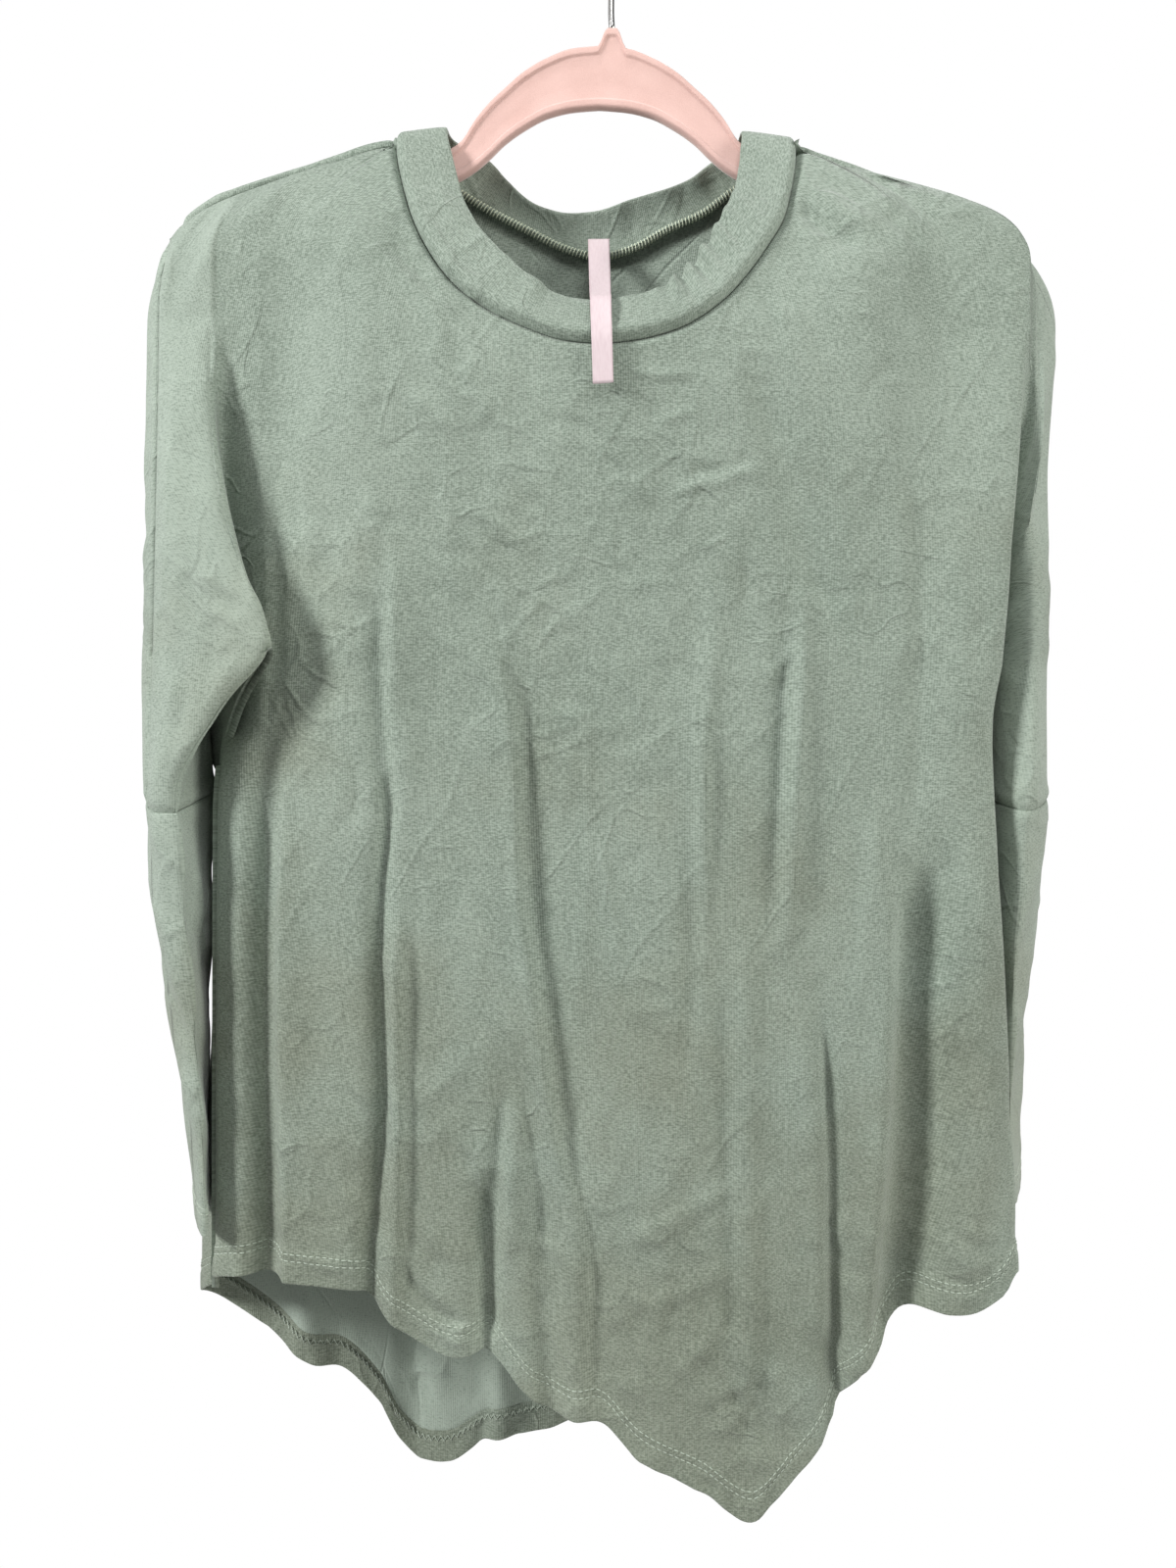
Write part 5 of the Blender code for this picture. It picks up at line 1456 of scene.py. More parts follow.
    def corner_distance(self) -> Array:
        """Distance of each point from the nearer sleeve's top corner, where the cloth comes to a point.

        Returns:
            A distance for each point.
        """
        points = self.sheet.points
        ends = [np.array([row.x, self.corner_y, row.z]) for row in (SHOULDER[0], SHOULDER[-1])]
        return np.min([np.linalg.norm(points - end, axis=1) for end in ends], axis=0)

    def drape(self, body_index: Array) -> None:
        """Moves the cloth's points outwards by its folds, swells, seams and hem.

        Args:
            body_index: numbers of the points below the armpits, the hem's edge last.
        """
        sheet = self.sheet
        x, z = sheet.points[:, 0], sheet.points[:, 2]
        across, on_body, on_sleeve = [sheet.values[k] for k in ("across", "body", "sleeve")]
        seam = sheet.edge_distance(body_index[-1])
        lift = np.zeros(len(x))
        for fold in FRONT_FOLDS if self.front else BACK_FOLDS:
            lift += fold_height(fold, x, z) * on_body * self.fold_scale
        for fold in self.scattered():
            lift += fold_height(fold, x, z) * on_body
        if self.front:
            for fold in LEFT_WING_FOLDS:
                lift += fold_height(fold, x, z) * on_sleeve * (x < 0)
        clear_of_seam = 0.010 if self.front else 0.026
        off_seam = smooth((seam - clear_of_seam) / self.seam_ease)
        for crease in self.sleeve_creases():
            lift += fold_height(crease, across, z) * on_sleeve * off_seam
        seed = 3 if self.front else 11
        visible = np.clip(on_body + on_sleeve, 0.0, 1.0)
        for drift in (Drift(seed, 0.030, 0.120, 0.0016), Drift(seed + 1, 0.014, 0.036, 0.0006)):
            lift += drift.at(across, z) * visible
        lift *= smooth(seam / self.seam_ease)
        lift -= self.seam_tuck * np.exp(-((seam / self.seam_tuck_width) ** 2))
        lift += self.seam_puff * np.exp(-(((seam - self.seam_puff_at) / self.seam_puff_width) ** 2))
        lift -= self.neck_tuck * np.exp(-((self.neck_distance() / self.neck_tuck_width) ** 2))
        lift *= smooth((self.corner_distance() - self.corner_flat) / self.seam_ease)
        rows, columns = body_index.shape
        height = np.zeros(len(x))
        height[body_index.ravel()] = np.repeat((rows - 1 - np.arange(rows)) * self.hem_step, columns)
        in_hem = np.zeros(len(x))
        in_hem[body_index[-self.hem_rows :].ravel()] = 1.0
        lift += self.hem_lift * in_hem * smooth((self.hem_top - height) / 0.002)
        ripple = Drift(seed + 2, 0.0085, 0.05, self.hem_ripple).at(across, z)
        lift += ripple * in_hem * smooth((0.016 - height) / 0.014)
        for place in self.needle_rows:
            lift -= self.needle_dent * in_hem * np.exp(-(((height - place) / self.needle_width) ** 2))
        sheet.points = sheet.points + sheet.normals() * lift[:, None]

    def neck_distance(self) -> Array:
        """Distance of each point from the neck seam.

        Returns:
            A distance for each point, and 1 far from the neck.
        """
        points = self.sheet.points
        near = np.flatnonzero((np.abs(points[:, 0]) < self.neck_reach) & (points[:, 2] > self.neck_low))
        distance = np.ones(len(points))
        distance[near] = nearest(points[near], neck_loop()[0])
        return distance

    def scattered(self) -> list[Fold]:
        """Small creases all over the body's face.

        Returns:
            One fold for each crease.
        """
        seed = 20 if self.front else 40
        whole = Creases(seed, 190, -190, 195, -190, -720,
                        lengths=(14, 52), widths=(2.2, 4.4), depths=(0.35, 1.1))
        chest = Creases(seed + 1, 90, -110, 120, -262, -460,
                        lengths=(10, 34), widths=(2.1, 3.4), depths=(0.4, 1.0), direction=35.0, spread=60.0)
        low = Creases(seed + 2, 90, -100, 150, -690, -835,
                      lengths=(12, 40), widths=(2.2, 4.2), depths=(0.5, 1.4), direction=50.0, spread=60.0)
        return whole.folds() + chest.folds() + low.folds()

    def sleeve_creases(self) -> list[Fold]:
        """Small creases on the upper sleeves, placed by distance round the cloth.

        Returns:
            One fold for each crease.
        """
        seed = 60 if self.front else 80
        made = []
        for k, (left, right) in enumerate(((-420, -200), (200, 420))):
            creases = Creases(seed + k, 60, left, right, -210, -475, lengths=(16, 60), widths=(3.0, 6.5),
                              depths=(0.3, 0.9), direction=78.0, spread=34.0)
            made += creases.folds()
        return made

    def stitch(self, body_index: Array) -> None:
        """Sews the hem's two rows of stitches.

        Args:
            body_index: numbers of the points below the armpits, the hem's edge last.
        """
        normals = self.sheet.normals()
        parts = []
        for place in self.needle_rows:
            at = place / self.hem_step
            upper, part = int(math.floor(at)), at - math.floor(at)
            rows = body_index[-1 - upper], body_index[-2 - upper]
            path = self.sheet.points[rows[0]] * (1 - part) + self.sheet.points[rows[1]] * part
            parts.append(StitchRow().skins(path, normals[rows[0]]))
        parts.append(self.looper(body_index, normals))
        self.stitches = joined(parts)

    def looper(self, body_index: Array, normals: Array) -> tuple[Array, list]:
        """The thread that zigzags between the two needle rows inside the hem.

        Args:
            body_index: numbers of the points below the armpits, the hem's edge last.
            normals: the cloth's outward direction at each point.

        Returns:
            Points and faces.
        """
        lines = []
        for place in self.needle_rows:
            row = body_index[-1 - round(place / self.hem_step)]
            line = self.sheet.points[row] - normals[row] * self.looper_depth
            run = run_along(line)
            at = np.arange(self.looper_end, run[-1] - self.looper_end, self.looper_pitch)
            lines.append(points_at(at, run, line))
        count = min(len(line) for line in lines)
        zigzag = np.where((np.arange(count) % 2 == 0)[:, None], lines[0][:count], lines[1][:count])
        return tube(zigzag, np.full(count, self.looper_radius), 5)

    def dress(self) -> bpy.types.Object:
        """Returns:
            The panel's object.
        """
        obj = piece(f"{self.name}_panel", self.sheet.mesh(f"{self.name}_panel"), self.finish)
        sewn = mesh_from("hem_stitches", *self.stitches)
        rows = piece(f"{self.name}_hem_stitches", sewn, self.thread)
        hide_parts(self.name)
        log.info("%s panel: %.3f m2", self.name, self.sheet.area())
        return obj


@dataclass
class LowerSleeve:
    """A lower sleeve: a narrow tube sewn on at the elbow, with a turned cuff."""

    side: int
    finish: bpy.types.Material
    thread: bpy.types.Material
    rows: int = 130
    cuff_rows: int = 18
    cuff_step: float = 0.001
    needle_rows: tuple[float, float] = (0.0110, 0.0145)
    needle_dent: float = 0.0004
    turned_rows: int = 16
    bunching: float = 0.0009
    elbow_tuck: float = 0.0008
    cuff_lift: float = 0.0004
    flat: tuple[float, float] = (0.17, 0.235)
    sheet: Sheet = field(default_factory=Sheet)

    @property
    def name(self) -> str:
        """The sleeve's name."""
        return "sleeve_left" if self.side < 0 else "sleeve_right"

    def build(self, front: Array, back: Array) -> None:
        """Makes the sleeve from the lower edges of the two upper sleeve parts.

        Args:
            front: the front part's lower edge, outer seam first.
            back: the back part's lower edge, outer seam first.
        """
        start = np.vstack([front, back[::-1][1:-1]])
        table = LEFT_RINGS if self.side < 0 else RIGHT_RINGS
        cuff = CUFF[0] if self.side < 0 else CUFF[1]
        knots = column(table, "share")
        height = float(start[:, 2].mean() - cuff)
        hem_share = self.cuff_rows * self.cuff_step / height
        share = np.concatenate([np.linspace(0.0, 1.0 - hem_share, self.rows),
                                1.0 - hem_share * (1 - np.arange(1, self.cuff_rows + 1) / self.cuff_rows)])
        box = np.stack([along(knots, column(table, n), share) for n in Ring._fields[1:]], axis=-1)[:, None]
        first = box[0, 0]
        local = start[:, :2] * -self.side
        u = (local[:, 0] - first[0]) / (first[1] - first[0])
        v = (local[:, 1] - first[2]) / (first[3] - first[2])
        depth = box[..., 2] + v * (box[..., 3] - box[..., 2])
        x = (box[..., 0] + u * (box[..., 1] - box[..., 0]) - box[..., 4] * depth) * -self.side
        z = start[:, 2] + (cuff - start[:, 2]) * share[:, None]
        grid = np.stack([x, depth * -self.side, z], axis=-1)
        ring = np.concatenate([grid, grid[:, :1]], axis=1)
        steps = np.linalg.norm(np.diff(ring, axis=1), axis=2)
        run = np.concatenate([np.zeros((len(grid), 1)), np.cumsum(steps, axis=1)], axis=1)[:, :-1]
        flip = self.side > 0
        values = {"across": run, "down": z, "sleeve": 1.0, "whole": steps.sum(axis=1)[:, None]}
        index = self.sheet.add(grid, values, flip=flip, closed=True)
        self.drape(index, share)
        normals = self.sheet.normals()
        parts = []
        for place in self.needle_rows:
            rows = index[-1 - int(place / self.cuff_step)]
            loop = np.append(rows, rows[0])
            parts.append(StitchRow().skins(self.sheet.points[loop], normals[loop]))
        self.stitches = joined(parts)
        self.sheet.turn_up(index, self.turned_rows, HEM_FOLD, flip, closed=True)
        self.sheet.flange(SEAM_ALLOWANCE, np.arange(index[-1].min(), len(self.sheet.points)))

    def drape(self, index: Array, share: Array) -> None:
        """Adds the soft bunching of a hanging sleeve, the elbow seam's groove and the cuff.

        Args:
            index: numbers of the sleeve's points, rows by columns.
            share: how far down the sleeve each row is, 0 to 1.
        """
        sheet = self.sheet
        run, z, whole = [sheet.values[k] for k in ("across", "down", "whole")]
        lift = np.zeros(len(z))
        seed = 101 if self.side < 0 else 121
        creases = Creases(seed, 54, 0.0, float(whole.max() / MM), -492, -690, lengths=(16, 54),
                          widths=(3.0, 6.5), depths=(0.3, 1.0), direction=62.0, spread=44.0)
        for fold in creases.folds():
            for lap in (-whole, 0.0, whole):
                lift += fold_height(fold, run + lap, z)
        place = np.repeat(share, index.shape[1])
        turn = 2 * np.pi * run / whole
        lift += self.bunching * np.sin(3 * turn + 18 * z / 0.2) * smooth((0.95 - place) / 0.2)
        lift *= smooth(place / 0.06)
        below = place * (z.max() - z.min())
        lift -= self.elbow_tuck * np.exp(-((below / 0.0016) ** 2))
        above_cuff = (1 - place) * (z.max() - z.min())
        lift += self.cuff_lift * smooth((0.016 - above_cuff) / 0.002)
        for row in self.needle_rows:
            lift -= self.needle_dent * np.exp(-(((above_cuff - row) / 0.0009) ** 2))
        sheet.points = sheet.points + sheet.normals() * lift[:, None]

    def dress(self) -> bpy.types.Object:
        """Returns:
            The sleeve's object.
        """
        obj = piece(f"{self.name}_tube", self.sheet.mesh(f"{self.name}_tube"), self.finish)
        sewn = mesh_from("cuff_stitches", *self.stitches)
        rows = piece(f"{self.name}_cuff_stitches", sewn, self.thread)
        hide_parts(self.name)
        log.info("%s: %.4f m2", self.name, self.sheet.area())
        return obj


@dataclass
class NeckBand:
    """The neck band: a folded strip whose free edge stands and ripples."""

    finish: bpy.types.Material
    wall: float = 0.0024
    bulge: float = 0.0034
    tuck: float = 0.0012
    ripple: float = 0.0010
    gathers: float = 0.0018
    gathers_at: float = 0.047
    gathers_width: float = 0.014
    gathers_wave: float = 0.0021
    foot_depth: float = 0.0018
    foot_share: float = 0.16
    crowding: float = 1.5
    flat: tuple[float, float] = (0.62, 0.056)
    across_steps: int = 16
    sheet: Sheet = field(default_factory=Sheet)

    def lines(self) -> tuple[Array, Array, Array, Array]:
        """The band's sewn edge, folded edge, outward direction and distance round the neck.

        Returns:
            The four, one value for each point round the neck.
        """
        seam, edge = neck_loop()
        run = (np.roll(seam, -1, axis=0) - np.roll(seam, 1, axis=0)
               + np.roll(edge, -1, axis=0) - np.roll(edge, 1, axis=0))
        out = unit(np.cross(run, edge - seam))
        steps = np.linalg.norm(np.roll(seam, -1, axis=0) - seam, axis=1)
        return seam, edge, out, np.concatenate([[0.0], np.cumsum(steps)[:-1]])

    def build(self) -> None:
        """Makes the band's two layers as one skin folded at its free edge."""
        seam, edge, out, place = self.lines()
        up = unit(edge - seam)
        gathered = np.exp(-(((edge[:, 0] - self.gathers_at) / self.gathers_width) ** 2)) * (edge[:, 1] < 0)
        wave = Drift(7, 0.011, 1.0, 1.0).at(place, place * 0) * self.ripple
        wave = wave + self.gathers * gathered * np.sin(place / self.gathers_wave)
        edge = edge + out * wave[:, None] + up * (0.5 * wave)[:, None]
        foot = seam - up * self.tuck
        half = self.wall / 2
        rows = []
        for t in np.linspace(0.0, 1.0, self.across_steps + 1) ** self.crowding:
            rolled = math.sqrt(max(0.0, 1 - (1 - min(t / self.foot_share, 1.0)) ** 2))
            swell = -self.foot_depth + (self.foot_depth + half) * rolled
            swell += self.bulge * rolled * (1 - t) ** 0.8
            rows.append(foot + (edge - up * half - foot) * t + out * (swell + wave[:, None] * 0.5 * t))
        for angle in np.radians((30.0, 60.0, 90.0, 120.0, 150.0, 180.0)):
            rows.append(edge - up * half + out * (half * math.cos(angle) + wave[:, None] * 0.5)
                        + up * half * math.sin(angle))
        for t in np.linspace(1.0, 0.0, self.across_steps + 1)[1:]:
            swell = -half + 0.5 * self.bulge * math.sin(math.pi * t)
            rows.append(foot + (edge - up * half - foot) * t + out * (swell + wave[:, None] * 0.5 * t))
        grid = np.array(rows)
        down = np.cumsum(np.concatenate([[0.0], np.linalg.norm(np.diff(grid, axis=0), axis=2).mean(axis=1)]))
        values = {"across": place[None], "down": down[:, None], "sleeve": 0.0}
        self.sheet.add(grid, values, flip=True, closed=True)

    def dress(self) -> bpy.types.Object:
        """Returns:
            The band's object.
        """
        obj = piece("neck_band_fold", self.sheet.mesh("neck_band_fold"), self.finish)
        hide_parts("neck_band")
        log.info("neck band: %.4f m2", self.sheet.area())
        return obj


@dataclass
class Overlock:
    """The overlocked seam allowance inside the back of the neck, with its wound threads."""

    finish: bpy.types.Material
    thread: bpy.types.Material
    radius: float = 0.0017
    flatness: float = 0.8
    sides: int = 12
    thread_radius: float = 0.00030
    pitch: float = 0.0019
    steps_a_turn: int = 14
    short_of_band: int = 8
    offset: tuple[float, float, float] = (0.0, -0.0046, -0.0008)

    def path(self) -> Array:
        """Its middle line, just inside the back neck seam."""
        last = (len(NECK_FRONT) - 1) * NECK_STEPS
        return neck_loop()[0][last + self.short_of_band : -self.short_of_band] + np.array(self.offset)

    def dress(self) -> list[bpy.types.Object]:
        """Makes the rolled allowance and the threads wound round it.

        Returns:
            The objects of the allowance and of the threads.
        """
        path = self.path()
        roll = tube(path, np.full(len(path), self.radius), self.sides, self.flatness)
        mesh = mesh_from("neck_overlock", *roll)
        run = run_along(path)
        carry(mesh, across=np.repeat(run, self.sides), down=np.zeros(len(run) * self.sides))
        length = float(run[-1])
        at = np.linspace(0.0, length, int(length / self.pitch * self.steps_a_turn))
        centre = points_at(at, run, path)
        tangent = unit(np.gradient(centre, axis=0))
        side = unit(np.cross(tangent, (0.0, 0.0, 1.0)))
        up = np.cross(side, tangent)
        turn = 2 * np.pi * at / self.pitch
        reach = self.radius + self.thread_radius * 0.6
        wound = centre + (side * np.cos(turn)[:, None] + up * np.sin(turn)[:, None]) * reach
        threads = mesh_from("overlock_threads", *tube(wound, np.full(len(wound), self.thread_radius), 5))
        return [piece("neck_overlock", mesh, self.finish),
                piece("overlock_threads", threads, self.thread)]


LABEL_PATH = (
    (-0.0004, 0.0196, -0.1770), (-0.0003, 0.0160, -0.1835), (-0.0001, 0.0040, -0.1990),
    (0.0000, -0.0150, -0.2175), (0.0000, -0.0300, -0.2290), (0.0000, -0.0345, -0.2302),
    (0.0000, -0.0382, -0.2317), (0.0001, -0.0448, -0.2420), (0.0004, -0.0494, -0.2543),
    (0.0007, -0.0500, -0.2650), (0.0011, -0.0500, -0.2790),
)


@dataclass
class NeckRibbon:
    """The blank satin ribbon from the back neck seam out over the front band."""

    finish: bpy.types.Material
    thread: bpy.types.Material
    width: float = 0.0116
    wall: float = 0.0004
    narrowing: float = 0.13
    twist: float = -0.14
    flat: tuple[float, float] = (0.0115, 0.124)

    def build(self) -> None:
        """Makes the ribbon as a thin woven strip with rounded edges."""
        line = spline([np.array(p) for p in LABEL_PATH], (8,) * (len(LABEL_PATH) - 1))
        place = run_along(line)
        turn = self.twist * smooth((place / place[-1] - 0.15) / 0.8)
        line[:, 1] -= self.width / 2 * np.abs(np.sin(turn)) + 0.0004
        run = unit(np.gradient(line, axis=0))
        side = np.stack([np.cos(turn), np.sin(turn), 0 * turn], axis=-1)
        side = unit(side - run * np.sum(side * run, axis=1, keepdims=True))
        out = unit(np.cross(run, side))
        curl = 0.0004 * np.sin(place / 0.012)[:, None, None]
        half, wall = self.width / 2, self.wall / 2
        upper = [(x, wall) for x in np.linspace(-half * 0.85, half * 0.85, 9)]
        lower = [(x, -wall) for x in np.linspace(half * 0.85, -half * 0.85, 9)]
        flat = np.array([(-half, 0.0), (-half + wall, wall), *upper, (half - wall, wall), (half, 0.0),
                         (half - wall, -wall), *lower, (-half + wall, -wall)])
        bowed = curl * (1 - (flat[None, :, :1] / half) ** 2)
        girth = 1 - self.narrowing * smooth(place / place[-1])[:, None, None]
        points = (line[:, None] + side[:, None] * flat[None, :, :1] * girth
                  + out[:, None] * (flat[None, :, 1:] + bowed))
        self.mesh = mesh_from("ribbon", *skin(points))
        carry(self.mesh, across=np.tile(flat[:, 0], len(line)), down=np.repeat(place, len(flat)))
        rows = []
        for step in (4, 6):
            ends = [line[step] + side[step] * s * half * 0.9 for s in (-1, 1)]
            track = np.linspace(ends[0], ends[1], 8)
            away = np.tile(-out[step], (8, 1))
            rows.append(StitchRow(0.0016, 0.0005, 0.00016).skins(track - out[step] * wall, away))
        self.stitches = joined(rows)

    def dress(self) -> bpy.types.Object:
        """Returns:
            The ribbon's object.
        """
        obj = piece("neck_ribbon_strip", self.mesh, self.finish)
        sewn = mesh_from("ribbon_stitches", *self.stitches)
        rows = piece("ribbon_stitches", sewn, self.thread)
        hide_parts("neck_label")
        return obj


# ================================================================ hanger and hook
class Arch(NamedTuple):
    """The hanger's outline near its middle, right half: distance out, top and bottom heights."""

    out: float
    top: float
    bottom: float


ARCH = (
    Arch(0.000, -0.0848, -0.1178), Arch(0.014, -0.0862, -0.1190), Arch(0.027, -0.0909, -0.1222),
    Arch(0.040, -0.0985, -0.1290), Arch(0.050, -0.1072, -0.1362), Arch(0.0575, -0.1142, -0.1435),
    Arch(0.065, -0.1232, -0.1500), Arch(0.073, -0.1352, -0.1550), Arch(0.082, -0.1408, -0.1585),
    Arch(0.092, -0.1446, -0.1610), Arch(0.105, -0.1462, -0.1625),
)
HOOK_FOOT = (0.0064, -0.0749)


@dataclass
class Hanger:
    """The flocked hanger: a plate with a rounded rim round a sunken web."""

    finish: bpy.types.Material
    wall: float = 0.006
    rim: float = 0.004
    sink: float = 0.0011
    arm_height: float = 0.0175
    arm_start: float = 0.128
    arm_end: float = 0.2160
    arm_tip: float = 0.012
    under_cloth: float = 0.0017
    edge: float = 0.0018
    stud_drop: float = 0.0006
    stud_flat: float = 0.0025
    stud_ease: float = 0.005
    stud_reach: float = 0.0075
    stations: int = 420

    def outline(self, x: Array) -> tuple[Array, Array]:
        """Top and bottom heights of the hanger at places x along it.

        Args:
            x: the places.

        Returns:
            The heights of the top, and of the bottom.
        """
        out, last = np.abs(x), ARCH[-1].out
        arch = [along(column(ARCH, "out"), column(ARCH, n), np.minimum(out, last)) for n in ("top", "bottom")]
        arm_top = shoulder_z(np.copysign(np.maximum(out, self.arm_start), x)) - self.under_cloth
        share = np.clip((out - last) / (self.arm_start - last), 0.0, 1.0)
        top = arch[0] + (arm_top - arch[0]) * share
        bottom = arch[1] + (arm_top - self.arm_height - arch[1]) * share
        past = np.maximum(0.0, out - (self.arm_end - self.arm_tip)) / self.arm_tip
        middle, half = (top + bottom) / 2, (top - bottom) / 2 * np.sqrt(np.maximum(0.0, 1.0 - past**2))
        top, bottom = middle + half, middle - half
        bump = np.abs(x - HOOK_FOOT[0])
        stud = HOOK_FOOT[1] - self.stud_drop
        raised = np.maximum(top, stud + (top - stud) * smooth((bump - self.stud_flat) / self.stud_ease))
        return np.where(bump < self.stud_reach, raised, top), bottom

    def dress(self) -> bpy.types.Object:
        """Makes the hanger and puts it in the scene.

        Returns:
            The hanger's object.
        """
        reach = self.arm_end - 0.0002
        x = reach * np.sin(np.linspace(-np.pi / 2, np.pi / 2, self.stations))
        top, bottom = self.outline(x)
        height = top - bottom
        rim, edge = np.minimum(self.rim, height * 0.3), np.minimum(self.edge, height * 0.2)
        half, web = self.wall / 2, self.wall / 2 - self.sink
        profile: list[tuple[float, Array]] = []
        for angle in np.radians((0, 22, 45, 68, 90)):
            profile.append((half * math.sin(angle), top - edge * (1 - math.cos(angle))))
        for share in (0.35, 0.7):
            profile.append((half, top - edge - (rim - edge) * share))
        for share in (0.0, 0.25, 0.5, 0.75, 1.0):
            eased = float(smooth(share))
            profile.append((half + (web - half) * eased, top - rim * (1 + 0.4 * share)))
        profile += [(web, (top - rim * 1.4) * (1 - s) + (bottom + rim * 1.4) * s) for s in (0.33, 0.67)]
        lower = [(y, bottom + (top - z)) for y, z in profile[:12]][::-1]
        profile += lower
        right = [np.stack([x, np.full(len(x), y), z], axis=-1) for y, z in profile]
        left = [np.stack([x, np.full(len(x), -y), z], axis=-1) for y, z in profile[-2:0:-1]]
        mesh = mesh_from("flocked_hanger", *skin(np.stack(right + left, axis=1), inward=True))
        obj = piece("flocked_hanger", mesh, self.finish)
        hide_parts("hanger")
        return obj


@dataclass
class Hook:
    """The wire hook, round over the rail and down to a ball end."""

    finish: bpy.types.Material
    wire: float = 0.0016
    inside: float = 0.0199
    arc: tuple[float, float, int] = (-38.0, 205.0, 20)
    ball: float = 1.45
    ball_steps: int = 20
    sides: int = 20

    def dress(self) -> bpy.types.Object:
        """Makes the hook and puts it in the scene.

        Returns:
            The hook's object.
        """
        radius = self.inside + self.wire
        x0, z0 = HOOK_FOOT
        lead = [(x0, z0 - 0.001), (x0 - 0.0004, z0 + 0.010), (x0 + 0.0004, z0 + 0.020),
                (x0 + 0.0052, z0 + 0.0285)]
        arc = np.radians(np.linspace(*self.arc))
        knots = lead + [(radius * math.cos(a), -self.inside + radius * math.sin(a)) for a in arc]
        path = spline([np.array([x, 0.0, z]) for x, z in knots], (6,) * (len(knots) - 1))
        left = np.linalg.norm(path - path[-1], axis=1)
        ball = self.wire * self.ball
        radii = np.full(len(path), self.wire)
        end = (np.arange(len(path)) > len(path) - self.ball_steps) & (left < 2 * ball)
        rounded = np.sqrt(np.maximum(ball**2 - (left[end] - ball) ** 2, 1e-9))
        radii[end] = np.maximum(self.wire * (left[end] > ball), rounded)
        mesh = mesh_from("hook_wire_bent", *tube(path, radii, self.sides))
        obj = piece("hook_wire_bent", mesh, self.finish)
        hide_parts("hook")
        return obj


# ================================================================ finishes
Colour = tuple[float, float, float]


class Wire:
    """A number that varies over a surface; arithmetic on it adds Math nodes."""

    def __init__(self, tree: Tree, socket: bpy.types.NodeSocket) -> None:
        """Wraps a socket of a tree."""
        self.tree, self.socket = tree, socket

    def math(self, operation: str, *terms: Wire | float) -> Wire:
        """The result of a Math node on the terms."""
        made = self.tree.node("ShaderNodeMath", {"operation": operation}, dict(enumerate(terms)))
        return Wire(self.tree, made.outputs[0])

    def __add__(self, other: Wire | float) -> Wire:
        """Sum."""
        return self.math("ADD", self, other)

    __radd__ = __add__

    def __sub__(self, other: Wire | float) -> Wire:
        """Difference."""
        return self.math("SUBTRACT", self, other)

    def __rsub__(self, other: float) -> Wire:
        """Difference from a number."""
        return self.math("SUBTRACT", other, self)

    def __mul__(self, other: Wire | float) -> Wire:
        """Product."""
        return self.math("MULTIPLY", self, other)

    __rmul__ = __mul__

    def sine(self) -> Wire:
        """Its sine."""
        return self.math("SINE", self)

    def between(self, low: float, high: float) -> Wire:
        """Eases from 0 at low to 1 at high.

        Args:
            low: where it is 0.
            high: where it is 1.

        Returns:
            The eased number.
        """
        made = self.tree.node("ShaderNodeMapRange", {"interpolation_type": "SMOOTHSTEP"},
                              {"Value": self, "From Min": low, "From Max": high})
        return Wire(self.tree, made.outputs[0])


